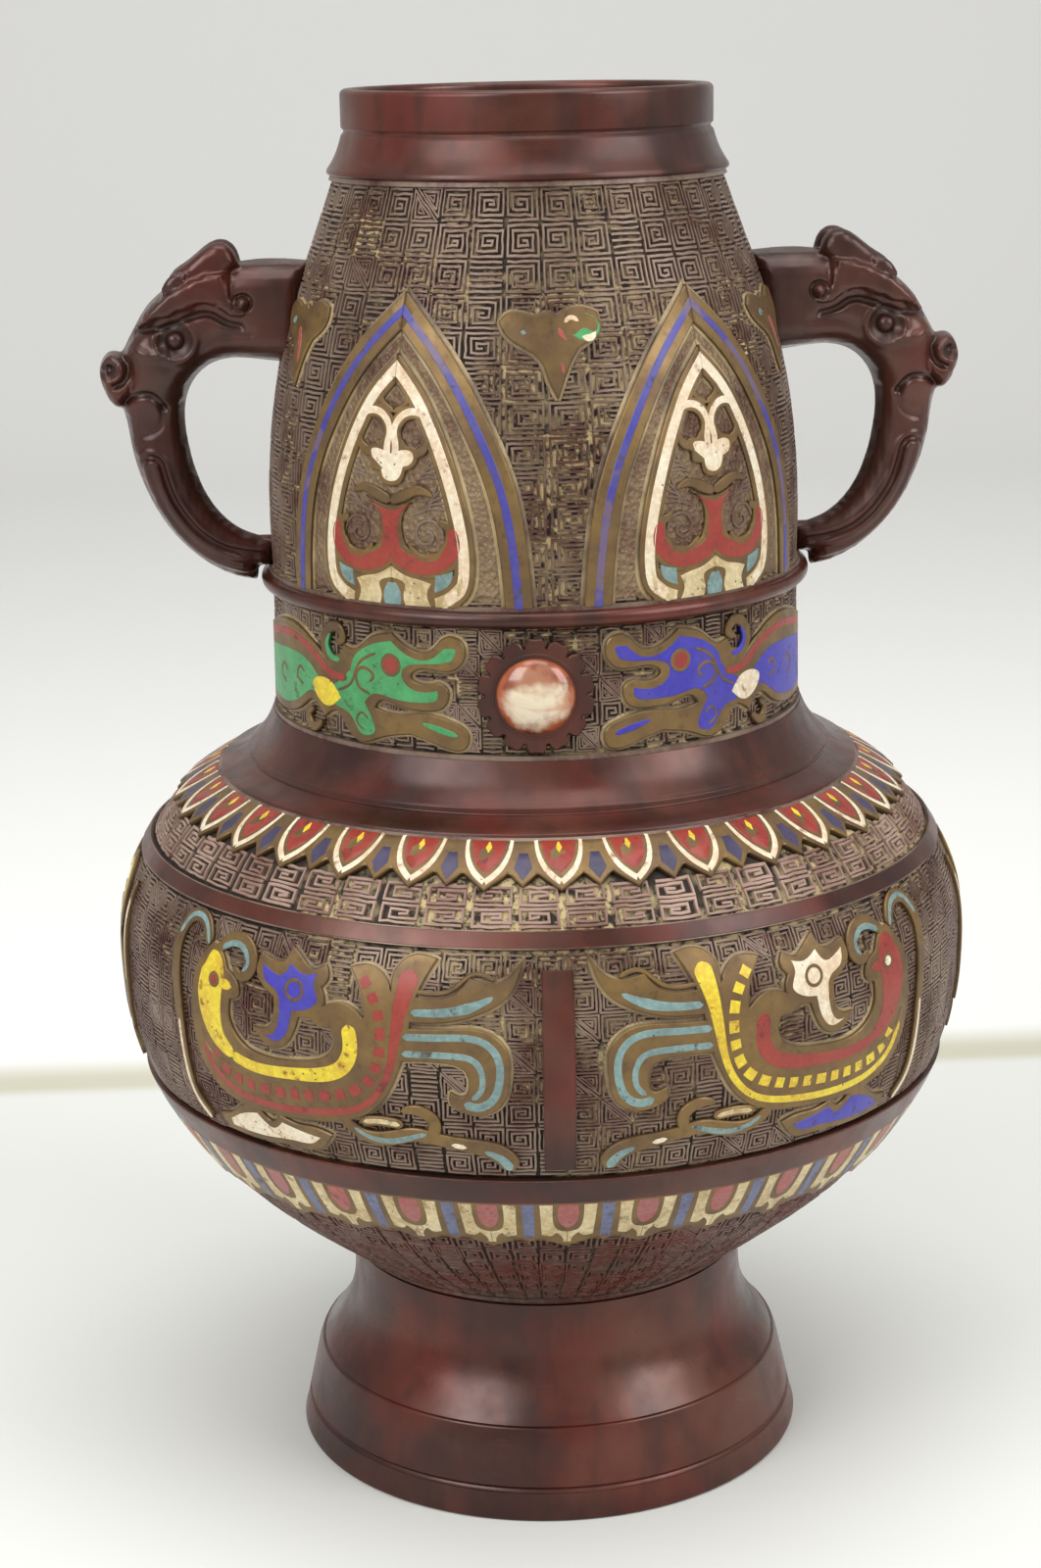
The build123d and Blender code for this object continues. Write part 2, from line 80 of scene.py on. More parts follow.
# ---------------------------------------------------------------- sizes of the surface
wall = 2.6
rim_under_radius = 42.3       # top of the neck
mouth_radius = 39.5
mouth_bore = 36.5
foot_neck_radius = 45.0
foot_edge_radius = 53.5
skirt_height = 20.3
widest_rise = 72.5            # height of the widest ring above the foot

metal_top = -0.15             # relief heights, measured outward from the CAD surface
enamel_top = -0.10
fret_top = -1.00
ground = -1.65
buried = -2.20
decoration_turn = 1.0         # the neck's pattern stands a little off the handles


# ---------------------------------------------------------------- curves
def spline(points, step=0.6, closed=False):
    """A smooth curve through a few points, sampled about every step."""
    p = np.array(points, float)
    if closed:
        p = np.vstack([p[-3:], p, p[:3]])
    n = len(p)
    t = np.concatenate([[0], np.cumsum(np.linalg.norm(np.diff(p, axis=0), axis=1) ** 0.75)])
    gap = np.diff(t)
    matrix = np.zeros((n, n))
    right = np.zeros((n, p.shape[1]))
    matrix[0, 0] = matrix[-1, -1] = 1
    for i in range(1, n - 1):
        matrix[i, i - 1:i + 2] = gap[i - 1], 2 * (gap[i - 1] + gap[i]), gap[i]
        right[i] = 6 * ((p[i + 1] - p[i]) / gap[i] - (p[i] - p[i - 1]) / gap[i - 1])
    bend = np.linalg.solve(matrix, right)
    out = []
    first, last = (3, n - 3) if closed else (0, n - 1)
    for i in range(first, last):
        parts = max(2, int(np.ceil(np.linalg.norm(p[i + 1] - p[i]) / step)))
        for k in range(parts):
            u = k / parts * gap[i]
            v = gap[i] - u
            out.append(
                bend[i] * v ** 3 / (6 * gap[i]) + bend[i + 1] * u ** 3 / (6 * gap[i])
                + (p[i] / gap[i] - bend[i] * gap[i] / 6) * v
                + (p[i + 1] / gap[i] - bend[i + 1] * gap[i] / 6) * u
            )
    if not closed:
        out.append(p[-1])
    return np.array(out)


def outline(*runs, step=0.6):
    """A closed outline of smooth runs that meet at corners; a run of two points is straight."""
    parts = []
    for run in runs:
        parts.append(spline(run, step)[:-1])
    return np.vstack(parts)


def resample(path, step):
    """The same polyline with even points."""
    path = np.array(path, float)
    run = np.concatenate([[0], np.cumsum(np.linalg.norm(np.diff(path, axis=0), axis=1))])
    count = max(2, int(round(run[-1] / step)) + 1)
    at = np.linspace(0, run[-1], count)
    return np.column_stack([np.interp(at, run, path[:, k]) for k in range(path.shape[1])])


# ---------------------------------------------------------------- surfaces of revolution
class Surface:
    """An outer profile from its lowest to its highest point, as (radius, height)."""

    def __init__(self, points, reference):
        table = spline(points, 0.4)
        self.radius = table[:, 0]
        self.height = table[:, 1]
        self.slope = np.gradient(self.radius, self.height)
        self.reference = reference

    def place(self, turn, z, lift):
        """Points in mm at an angle in degrees and a height, lifted square to the surface."""
        r = np.interp(z, self.height, self.radius)
        slope = np.interp(z, self.height, self.slope)
        stretch = np.sqrt(1 + slope ** 2)
        r = r + lift / stretch
        z = z - lift * slope / stretch
        a = np.radians(turn)
        return np.column_stack([r * np.sin(a), -r * np.cos(a), z])

    def spot(self, turn, hand=1):
        """A placer for a motif drawn flat: x in mm to the right of turn, z the height."""
        def put(flat, lift):
            degrees = np.degrees(hand * flat[:, 0] / self.reference) + turn
            return self.place(degrees, flat[:, 1], np.broadcast_to(lift, len(flat)))
        put.hand = hand
        return put


def at_reference(surface, reference):
    """The same surface with another reference radius, which sets how wide a flat drawing lies on it."""
    other = Surface.__new__(Surface)
    other.__dict__.update(surface.__dict__)
    other.reference = reference
    return other


def between(start, end, shape):
    (r0, z0), (r1, z1) = start, end
    return [(r0 + (r1 - r0) * fr, z0 + (z1 - z0) * fz) for fz, fr in shape]


bowl_curve = [(0, 0), (0.145, 0.28), (0.34, 0.60), (0.56, 0.835), (0.78, 0.965), (1, 1)]
shoulder_curve = [(0.38, 0.075), (0.70, 0.375), (0.86, 0.61), (1, 1)]
neck_curve = [(0, 0), (0.28, 0.015), (0.55, 0.22), (0.69, 0.42), (0.86, 0.74), (1, 1)]
widest_z = foot_top + widest_rise
body_points = between((foot_neck_radius, foot_top), (belly_radius, widest_z), bowl_curve)
body_points += between((belly_radius, widest_z), (shoulder_radius, shoulder_z), shoulder_curve)
body = Surface(body_points, 93.0)
neck_side = Surface(between((neck_radius, neck_z), (rim_under_radius, rim_z), neck_curve), 58.5)
band_side = Surface(
    [(neck_radius, band_z), (neck_radius, (band_z + neck_z) / 2), (neck_radius, neck_z)], 58.5
)


# ---------------------------------------------------------------- mesh building
class Build:
    """Gathers the faces of one piece, with a relief depth for each point."""

    def __init__(self):
        self.points = []
        self.faces = []
        self.depth = []
        self.count = 0

    def add(self, points, faces, depth):
        self.points.append(np.asarray(points, float))
        self.depth.append(np.broadcast_to(depth, len(points)).astype(float))
        self.faces += [tuple(i + self.count for i in face) for face in faces]
        self.count += len(points)

    def make(self, name, material, slot, replaces=(), smooth=False):
        mesh = bpy.data.meshes.new(name)
        points = np.vstack(self.points) * MM
        mesh.from_pydata(points.tolist(), [], self.faces)
        mesh.materials.append(material)
        layer = mesh.attributes.new("depth", "FLOAT", "POINT")
        layer.data.foreach_set("value", np.concatenate(self.depth))
        mesh.validate()
        if smooth:
            mesh.polygons.foreach_set("use_smooth", [True] * len(mesh.polygons))
        piece = bpy.data.objects.new(name, mesh)
        bpy.context.scene.collection.objects.link(piece)
        if smooth == "edges":
            mark_sharp_edges(mesh, radians(40))
        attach(piece, "root")
        if replaces:
            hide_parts(*replaces)
        return piece


def mark_sharp_edges(mesh, limit):
    """Smooth shading with creases wherever two faces meet at more than the limit."""
    shape = bmesh.new()
    shape.from_mesh(mesh)
    for edge in shape.edges:
        edge.smooth = edge.is_manifold and edge.calc_face_angle(0) < limit
    shape.to_mesh(mesh)
    shape.free()


def loop_faces(rows, around, closed_rows=False):
    """Quads between rows of points that each close on themselves."""
    faces = []
    last = rows if closed_rows else rows - 1
    for i in range(last):
        a, b = i * around, (i + 1) % rows * around
        for k in range(around):
            m = (k + 1) % around
            faces.append((a + k, a + m, b + m, b + k))
    return faces


def turned(build, profile, segments=288, depth=0.0):
    """A solid turned about the vase's axis from a closed section of (radius, height)."""
    profile = np.array(profile, float)
    angles = np.arange(segments) * 2 * pi / segments
    points = np.array([
        (r * sin(a), -r * cos(a), z) for a in angles for r, z in profile
    ])
    build.add(points, loop_faces(segments, len(profile), closed_rows=True), depth)


def orient(flat):
    """Points in counter-clockwise order."""
    x, z = flat[:, 0], flat[:, 1]
    area = np.sum(x * np.roll(z, -1) - np.roll(x, -1) * z)
    return flat if area > 0 else flat[::-1]


def inward(flat, distance):
    """A counter-clockwise outline moved inward; corners are held back so they do not fold."""
    before = np.roll(flat, 1, axis=0)
    after = np.roll(flat, -1, axis=0)
    side = after - before
    side /= np.maximum(np.linalg.norm(side, axis=1, keepdims=True), 1e-9)
    return flat + distance * np.column_stack([-side[:, 1], side[:, 0]])


def inside(flat, ring):
    """Which flat points lie inside a ring."""
    x, z = flat[:, 0][:, None], flat[:, 1][:, None]
    x0, z0 = ring[:, 0][None], ring[:, 1][None]
    x1, z1 = np.roll(x0, -1, 1), np.roll(z0, -1, 1)
    with np.errstate(divide="ignore", invalid="ignore"):
        cut = (z0 > z) != (z1 > z)
        cross = x < (x1 - x0) * (z - z0) / (z1 - z0) + x0
    return (cut & cross).sum(1) % 2 == 1


def plate(build, spot, flat, top=metal_top, bottom=buried, bevel=0.25, crown=0.0, grid=2.2):
    """A raised plate with a bevelled edge, from a closed flat outline."""
    flat = orient(np.array(flat, float))
    edge = inward(flat, bevel)
    low, high = edge.min(0), edge.max(0)
    xs = np.arange(low[0] + grid / 2, high[0], grid)
    zs = np.arange(low[1] + grid / 2, high[1], grid)
    middle = np.array([(x, z) for x in xs for z in zs]).reshape(-1, 2)
    if len(middle):
        middle = middle[inside(middle, edge)]
        gap = np.linalg.norm(middle[:, None] - edge[None], axis=2).min(1)
        middle = middle[gap > grid * 0.3]
    cloud = [Vector(p) for p in np.vstack([edge, middle])]
    n = len(edge)
    ring = [(i, (i + 1) % n) for i in range(n)]
    points, _, faces, *_ = delaunay_2d_cdt(cloud, ring, [], 1, 1e-6)
    cap = np.array([tuple(p) for p in points])
    gap = np.linalg.norm(cap[:, None] - edge[None], axis=2).min(1)
    lift = top + crown * np.clip(gap / 2.0, 0, 1)
    m = len(cap)
    start = np.array([int(np.argmin(np.linalg.norm(cap - p, axis=1))) for p in edge])
    build.add(
        np.vstack([spot(cap, lift), spot(cap, bottom), spot(flat, top - bevel)]),
        side_faces(faces, m, start, n, spot.hand),
        np.concatenate([np.zeros(m), np.ones(m), np.full(n, 0.3)]),
    )


def side_faces(faces, m, start, n, hand):
    """Top, bottom and walls of a plate: cap points, then their copies below, then the edge."""
    out = []
    for face in faces:
        out.append(tuple(face))
        out.append(tuple(i + m for i in reversed(face)))
    for i in range(n):
        k = (i + 1) % n
        a, b = int(start[i]), int(start[k])
        if a == b:
            continue
        out.append((a, 2 * m + i, 2 * m + k, b))
        out.append((2 * m + i, a + m, b + m, 2 * m + k))
    return out if hand > 0 else [tuple(reversed(f)) for f in out]


def stroke(build, spot, path, width, top=metal_top, bottom=buried, bevel=0.25, crown=0.0, closed=False,
           round_ends=True, step=0.7):
    """A raised band along a path; width is one number, or a list spread evenly along the path."""
    path = np.array(path, float)
    if closed:
        path = np.vstack([path, path[:1]])
    path = resample(path, step)
    if closed:
        path = path[:-1]
    n = len(path)
    widths = np.atleast_1d(np.array(width, float))
    half = np.interp(np.linspace(0, 1, n), np.linspace(0, 1, len(widths)), widths) / 2 \
        if len(widths) > 1 else np.full(n, widths[0] / 2)
    if round_ends and not closed:
        run = np.concatenate([[0], np.cumsum(np.linalg.norm(np.diff(path, axis=0), axis=1))])
        from_end = np.minimum(run, run[-1] - run) / np.maximum(half, 1e-6)
        half = half * np.sqrt(np.clip(1 - (1 - np.clip(from_end, 0.03, 1)) ** 2, 0, 1))
    if closed:
        side = np.roll(path, -1, axis=0) - np.roll(path, 1, axis=0)
    else:
        side = np.gradient(path, axis=0)
    side /= np.maximum(np.linalg.norm(side, axis=1, keepdims=True), 1e-9)
    across = np.column_stack([-side[:, 1], side[:, 0]])
    band_section(build, spot, path, across, half, top, bottom, bevel, crown, closed)


def band_section(build, spot, path, across, half, top, bottom, bevel, crown, closed):
    """The seven-point section of a band, swept along its path."""
    n = len(path)
    edge = np.minimum(bevel, half * 0.6)
    shares = [
        (half, bottom, 1.0), (half, top - edge, 0.3), (half - edge, top, 0.0), (0 * half, top + crown, 0.0),
        (edge - half, top, 0.0), (-half, top - edge, 0.3), (-half, bottom, 1.0),
    ]
    rows = [spot(path + across * offset[:, None], lift + 0 * half) for offset, lift, _ in shares]
    k = len(rows)
    points = np.stack(rows, axis=1).reshape(-1, 3)
    faces = []
    for i in range(n if closed else n - 1):
        a, b = i * k, (i + 1) % n * k
        for j in range(k):
            m = (j + 1) % k
            faces.append((a + j, a + m, b + m, b + j))
    if not closed:
        faces.append(tuple(range(k))[::-1])
        faces.append(tuple(range((n - 1) * k, n * k)))
    if spot.hand < 0:
        faces = [tuple(reversed(face)) for face in faces]
    build.add(points, faces, np.tile([d for _, _, d in shares], n))


def ridge(build, spot, path, width, top, bottom):
    """A thin straight-sided line with mitred corners, for frets."""
    path = np.array(path, float)
    n = len(path)
    side = np.diff(path, axis=0)
    side /= np.maximum(np.linalg.norm(side, axis=1, keepdims=True), 1e-9)
    normal = np.column_stack([-side[:, 1], side[:, 0]])
    across = np.empty_like(path)
    across[0], across[-1] = normal[0], normal[-1]
    for i in range(1, n - 1):
        joint = normal[i - 1] + normal[i]
        size = max(joint @ joint / 2, 0.4)
        across[i] = joint / size
    lows = spot(path + across * width * 0.62, bottom), spot(path - across * width * 0.62, bottom)
    highs = spot(path + across * width * 0.36, top), spot(path - across * width * 0.36, top)
    points = np.stack([lows[0], highs[0], highs[1], lows[1]], axis=1).reshape(-1, 3)
    faces = []
    for i in range(n - 1):
        a, b = i * 4, i * 4 + 4
        faces += [(a + j, a + (j + 1) % 4, b + (j + 1) % 4, b + j) for j in range(4)]
    faces += [(3, 2, 1, 0), tuple(n * 4 - 4 + j for j in range(4))]
    build.add(points, faces, np.tile([1.0, 0.0, 0.0, 1.0], n))


def ring_band(build, surface, low, high, top=metal_top, bottom=buried, bevel=0.25, rows=5):
    """A raised band all round the vase between two wavy edges, given as heights at even angles."""
    n = len(low)
    turns = np.arange(n) * 360 / n
    spans = [(low, bottom, 1.0), (low, top - bevel, 0.3), (low + bevel, top, 0.0)]
    for i in range(1, rows):
        spans.append((low + (high - low) * i / rows, top, 0.0))
    spans += [(high - bevel, top, 0.0), (high, top - bevel, 0.3), (high, bottom, 1.0)]
    points = np.vstack([surface.place(turns, z, lift) for z, lift, _ in spans])
    faces = loop_faces(len(spans), n, closed_rows=True)
    build.add(points, faces, np.repeat([d for _, _, d in spans], n))


# ---------------------------------------------------------------- materials
class Graph:
    """Short names for building a node material."""

    def __init__(self, name):
        self.material = bpy.data.materials.new(name)
        self.material.use_nodes = True
        self.nodes = self.material.node_tree.nodes
        self.links = self.material.node_tree.links
        self.shader = self.nodes["Principled BSDF"]

    def put(self, socket, value):
        if isinstance(value, bpy.types.NodeSocket):
            self.links.new(value, socket)
        elif value is not None:
            socket.default_value = value

    def noise(self, scale, detail=3.0, rough=0.55, stretch=None):
        node = self.nodes.new("ShaderNodeTexNoise")
        node.inputs["Scale"].default_value = scale
        node.inputs["Detail"].default_value = detail
        node.inputs["Roughness"].default_value = rough
        self.links.new(self.where(stretch), node.inputs["Vector"])
        return node.outputs["Fac"]

    def where(self, stretch=None):
        """Object coordinates in metres, if wanted stretched along each axis."""
        at = self.nodes.new("ShaderNodeTexCoord").outputs["Object"]
        if stretch is None:
            return at
        node = self.nodes.new("ShaderNodeMapping")
        node.inputs["Scale"].default_value = stretch
        self.links.new(at, node.inputs["Vector"])
        return node.outputs["Vector"]

    def pits(self, scale):
        node = self.nodes.new("ShaderNodeTexVoronoi")
        node.inputs["Scale"].default_value = scale
        self.links.new(self.where(), node.inputs["Vector"])
        return node.outputs["Distance"]

    def depth(self):
        node = self.nodes.new("ShaderNodeAttribute")
        node.attribute_name = "depth"
        return node.outputs["Fac"]

    def span(self, value, low, high, to_low=0.0, to_high=1.0):
        node = self.nodes.new("ShaderNodeMapRange")
        node.interpolation_type = "SMOOTHSTEP"
        for key, number in zip(("From Min", "From Max", "To Min", "To Max"), (low, high, to_low, to_high)):
            node.inputs[key].default_value = number
        self.links.new(value, node.inputs["Value"])
        return node.outputs["Result"]

    def math(self, kind, a, b=None):
        node = self.nodes.new("ShaderNodeMath")
        node.operation = kind
        self.put(node.inputs[0], a)
        self.put(node.inputs[1], b)
        return node.outputs[0]

    def mix(self, share, a, b):
        node = self.nodes.new("ShaderNodeMix")
        node.data_type = "RGBA"
        self.put(node.inputs["Factor"], share)
        self.put(node.inputs["A"], a)
        self.put(node.inputs["B"], b)
        return node.outputs["Result"]

    def bump(self, height, strength, distance):
        node = self.nodes.new("ShaderNodeBump")
        node.inputs["Strength"].default_value = strength
        node.inputs["Distance"].default_value = distance * MM
        self.links.new(height, node.inputs["Height"])
        self.links.new(node.outputs["Normal"], self.shader.inputs["Normal"])

    def finish(self, colour, roughness, metallic=0.0, coat=0.0, specular=0.5):
        self.put(self.shader.inputs["Base Color"], colour)
        self.put(self.shader.inputs["Roughness"], roughness)
        self.put(self.shader.inputs["Metallic"], metallic)
        self.put(self.shader.inputs["Coat Weight"], coat)
        self.put(self.shader.inputs["Coat Roughness"], 0.25)
        self.put(self.shader.inputs["Specular IOR Level"], specular)
        return self.material


def srgb(r, g, b):
    """A colour in 0 to 255 steps as linear light."""
    parts = [(c / 255 / 12.92) if c <= 10 else ((c / 255 + 0.055) / 1.055) ** 2.4 for c in (r, g, b)]
    return (*parts, 1.0)


def smooth_bronze(name, dark, light, red, metallic=0.35, roughness=0.36, streak=True):
    """Turned, patinated bronze: worn lighter in clouds, with fine turning lines, painted reflection streaks,
    and painted shade in its hollows.
    """
    g = Graph(name)
    cloud = g.span(g.noise(26, 4, 0.6), 0.35, 0.68)
    warm = g.span(g.noise(45, 3, 0.5), 0.45, 0.7)
    base = g.mix(cloud, srgb(*dark), srgb(*light))
    base = g.mix(g.math("MULTIPLY", warm, 0.55), base, srgb(*red))
    grain = g.noise(900, 2, 0.6, (0.12, 0.12, 1.0) if streak else None)
    base = g.mix(g.span(grain, 0.62, 0.84, 0, 0.14), base, srgb(118, 84, 68))
    # painted reflection: darker vertical streaks stand in for the surroundings mirrored in the polished metal
    runs = g.span(g.noise(110, 3, 0.6, (1.0, 1.0, 0.14)), 0.45, 0.68)
    base = g.mix(g.math("MULTIPLY", runs, 0.5), base, srgb(*[int(c * 0.6) for c in dark]))
    bloom = g.span(g.noise(14, 4, 0.65), 0.54, 0.74, 0, 0.28)
    base = g.mix(bloom, base, srgb(120, 86, 70))
    speck = g.span(g.pits(420), 0.04, 0.10, 0.7, 0.0)
    base = g.mix(g.math("MULTIPLY", speck, g.span(g.noise(60), 0.5, 0.62)), base, srgb(35, 22, 18))
    # painted shade: the same bronze made darker in grooves, sockets and at the foot of raised edges
    edge = g.span(g.depth(), 0.2, 0.9)
    base = g.mix(g.math("MULTIPLY", edge, 0.7), base, srgb(46, 28, 22))
    rough = g.span(g.noise(70, 4, 0.6), 0.3, 0.7, roughness - 0.08, roughness + 0.12)
    height = g.math("ADD", g.math("MULTIPLY", grain, 0.4), g.math("MULTIPLY", g.noise(300, 3), 0.6))
    g.bump(height, 0.25, 0.12)
    return g.finish(base, rough, metallic, 0.12)


def cast_bronze(
    name, top, ground, residue, red=(70, 34, 28), residue_amount=0.5, metallic=0.25, rough_ground=False,
    spread=0.42
):
    """Cast relief: rubbed line tops, dark hollows, with an ochre residue caught in patches."""
    g = Graph(name)
    deep = g.depth()
    worn = g.span(g.noise(60, 4, 0.6), 0.3, 0.7)
    tops = g.mix(worn, srgb(*top), srgb(*red))
    speckle = g.span(g.noise(700, 3, 0.65), 0.45, 0.7)
    tops = g.mix(g.math("MULTIPLY", speckle, 0.45), tops, srgb(130, 112, 92))
    patches = g.span(g.noise(30, 4, 0.62), spread, spread + 0.17)
    crumbs = g.span(g.noise(480, 4, 0.7), 0.40, 0.58)
    amount = g.math("MULTIPLY", g.math("MULTIPLY", patches, crumbs), residue_amount)
    hollow = g.mix(amount, srgb(*ground), srgb(*residue))
    base = g.mix(g.span(deep, 0.15, 0.95), tops, hollow)
    rough = g.span(deep, 0.0, 0.9, 0.42, 0.85)
    shine = g.span(deep, 0.0, 0.7, metallic, 0.0)
    grit = g.math("ADD", g.noise(520, 4, 0.7), g.math("MULTIPLY", g.noise(1500, 2), 0.4))
    if rough_ground:
        g.bump(g.math("ADD", grit, g.pits(900)), 1.0, 0.55)
    else:
        g.bump(grit, 0.55, 0.22)
    return g.finish(base, rough, shine)


def rim_brass(name, top=(124, 98, 56), dark=(52, 38, 24), metallic=0.45):
    """The metal left standing round the enamel: brassy on top, with painted shade darkening it at its foot.
    """
    g = Graph(name)
    worn = g.span(g.noise(90, 4, 0.6), 0.3, 0.72)
    base = g.mix(worn, srgb(*top), srgb(96, 74, 50))
    grime = g.span(g.noise(420, 4, 0.7), 0.5, 0.75)
    base = g.mix(g.math("MULTIPLY", grime, 0.5), base, srgb(60, 46, 34))
    # painted shade: the brass made darker down its walls towards its foot
    base = g.mix(g.span(g.depth(), 0.1, 0.8), base, srgb(*dark))
    g.bump(g.noise(600, 3, 0.6), 0.3, 0.12)
    return g.finish(base, g.span(g.noise(150), 0.3, 0.7, 0.34, 0.52), metallic)


def enamel(name, colour, second, patch=0.5, dirt=(60, 48, 36), dirt_amount=0.6, wear=0.0):
    """Opaque glass: mottled, with pinholes, dirt, painted shade along the cell walls, and worn spots."""
    g = Graph(name)
    cloud = g.span(g.noise(120, 4, 0.6), 0.35, 0.68)
    base = g.mix(g.math("MULTIPLY", cloud, patch), srgb(*colour), srgb(*second))
    fine = g.span(g.noise(900, 3, 0.65), 0.42, 0.68)
    base = g.mix(g.math("MULTIPLY", fine, 0.28), base, srgb(*[min(255, int(c * 1.25 + 10)) for c in colour]))
    dust = g.span(g.noise(260, 4, 0.75), 0.56, 0.70)
    base = g.mix(g.math("MULTIPLY", dust, dirt_amount), base, srgb(*dirt))
    holes = g.span(g.pits(620), 0.10, 0.2, 1.0, 0.0)
    holes = g.math("MULTIPLY", holes, g.span(g.noise(180), 0.52, 0.6))
    base = g.mix(g.math("MULTIPLY", holes, 0.85), base, srgb(38, 28, 22))
    # painted shade: a darker copy of the enamel's own colour along the cell walls
    base = g.mix(g.span(g.depth(), 0.1, 0.8), base, srgb(*[int(c * 0.45) for c in colour]))
    if wear:
        gone = g.span(g.noise(55, 4, 0.6), 0.50, 0.56)
        base = g.mix(g.math("MULTIPLY", gone, wear), base, srgb(120, 96, 66))
    height = g.math("SUBTRACT", g.noise(420, 3, 0.6), g.math("MULTIPLY", holes, 0.8))
    g.bump(height, 0.3, 0.10)
    return g.finish(base, g.span(dust, 0, 1, 0.42, 0.65), 0.0, 0.08)


def agate(name):
    """Banded stone: milky in the middle, burnt orange to the edge."""
    g = Graph(name)
    at = g.where((55, 55, 95))
    node = g.nodes.new("ShaderNodeTexNoise")
    node.inputs["Scale"].default_value = 1.0
    node.inputs["Detail"].default_value = 4.0
    node.inputs["Distortion"].default_value = 1.2
    g.links.new(at, node.inputs["Vector"])
    milk = g.span(node.outputs["Fac"], 0.46, 0.66)
    edge = g.span(g.math("ADD", g.depth(), g.span(g.noise(240, 3), 0.35, 0.7, -0.12, 0.16)), 0.30, 0.80)
    orange = g.mix(g.span(g.noise(160, 3), 0.4, 0.65), srgb(156, 78, 42), srgb(112, 46, 26))
    middle = g.mix(milk, srgb(212, 198, 172), srgb(182, 130, 92))
    top = g.nodes.new("ShaderNodeSeparateXYZ")
    g.links.new(g.where(), top.inputs[0])
    height = g.math("ADD", top.outputs["Z"], g.span(g.noise(120, 3), 0.3, 0.7, -0.0016, 0.0016))
    middle = g.mix(g.span(height, 0.1868, 0.1895, 0.0, 0.9), middle, srgb(148, 88, 58))
    base = g.mix(edge, middle, orange)
    return g.finish(base, 0.14, 0.0, 0.5)


bronze_smooth = smooth_bronze(
    "Turned_bronze", (52, 19, 11), (88, 44, 30), (98, 24, 10), metallic=0.32, roughness=0.33
)
bronze_handle = smooth_bronze(
    "Handle_bronze", (46, 20, 13), (80, 44, 33), (82, 21, 10), metallic=0.32, roughness=0.31, streak=False,
)
relief = cast_bronze("Relief_bronze", (132, 112, 98), (38, 28, 22), (200, 180, 134), residue_amount=0.9)
# Lighter copy of the relief bronze for the upward-facing shoulder: painted light, with more ochre residue in
# patches.
relief_lit_shoulder = cast_bronze(
    "Shoulder_relief_bronze", (160, 134, 120), (84, 66, 52), (202, 184, 142), (112, 78, 68), 0.9, 0.1,
    spread=0.36
)
pebbled = cast_bronze(
    "Pebbled_ground_bronze", (132, 110, 80), (56, 42, 30), (212, 192, 142), (84, 52, 38), 1.0,
    rough_ground=True, spread=0.33
)
deposit = cast_bronze(
    "Ochre_deposit", (176, 154, 110), (60, 46, 34), (206, 186, 138), (74, 56, 42), 0.8, 0.0, spread=0.38
)
# Darker copy of the relief bronze for the downward-facing lower body: painted shade, with less ochre residue.
relief_shaded_lower = cast_bronze(
    "Lower_relief_bronze", (88, 66, 58), (38, 25, 22), (150, 130, 95), (96, 40, 32), 0.35,
)
brass_rim = rim_brass("Cell_rim_brass")
enamels = {
    "blue": enamel("Blue_enamel", (44, 36, 150), (70, 66, 150), 0.6, dirt_amount=0.6),
    "violet": enamel("Violet_blue_enamel", (50, 46, 134), (72, 68, 124), 0.8, dirt_amount=0.9, wear=0.5),
    "green": enamel("Green_enamel", (52, 128, 74), (78, 158, 98), 0.6, dirt_amount=0.7),
    "yellow": enamel(
        "Yellow_enamel", (208, 184, 36), (184, 142, 34), 0.7, dirt=(116, 50, 26), dirt_amount=0.9
    ),
    "red": enamel("Red_enamel", (130, 34, 26), (146, 62, 40), 0.5, dirt=(58, 34, 26), dirt_amount=0.7),
    "white": enamel(
        "White_enamel", (212, 200, 176), (196, 160, 122), 0.7, dirt=(140, 78, 44), dirt_amount=0.8
    ),
    "cream": enamel(
        "Cream_enamel", (196, 180, 140), (160, 134, 88), 0.9, dirt=(92, 70, 46), dirt_amount=0.8
    ),
    "teal": enamel("Teal_enamel", (112, 138, 136), (86, 106, 104), 0.8, dirt_amount=0.9),
    "slate": enamel("Slate_enamel", (92, 98, 128), (72, 72, 96), 0.7, dirt_amount=0.6),
    "rose": enamel("Rose_enamel", (142, 84, 82), (150, 60, 44), 0.7, dirt_amount=0.6),
    "navy": enamel("Navy_enamel", (44, 38, 66), (70, 62, 92), 0.6, dirt_amount=0.5),
}
enamel_slots = {
    "blue": "enamel_blue", "violet": "enamel_blue", "green": "enamel_green", "yellow": "enamel_yellow",
    "red": "enamel_red", "white": "enamel_white", "cream": "enamel_white", "teal": "enamel_teal",
    "slate": "enamel_teal", "rose": "enamel_pink", "navy": "enamel_blue",
}
stone = agate("Agate_stone")


# ---------------------------------------------------------------- zones of the body, by height
def body_level(share):
    """A height between the seam and the shoulder."""
    return seam_z + (shoulder_z - seam_z) * share


ornament_top = body_level(0.733)
plain_top = body_level(0.783)
squares_top = body_level(0.888)
lower_fret_z = foot_top + 1.2
tongue_low = seam_z - 18.6
tongue_top = seam_z - 6.2


def outer(surface, steps, spacing=1.2):
    """Outer profile points (radius, height) along a surface; steps are (low, high, lift)."""
    points = []
    for low, high, lift in steps:
        z = np.linspace(low, high, max(2, int((high - low) / spacing) + 1))
        at = surface.place(np.full(len(z), 90.0), z, lift)
        points += [(p[0], p[2]) for p in at]
    return points


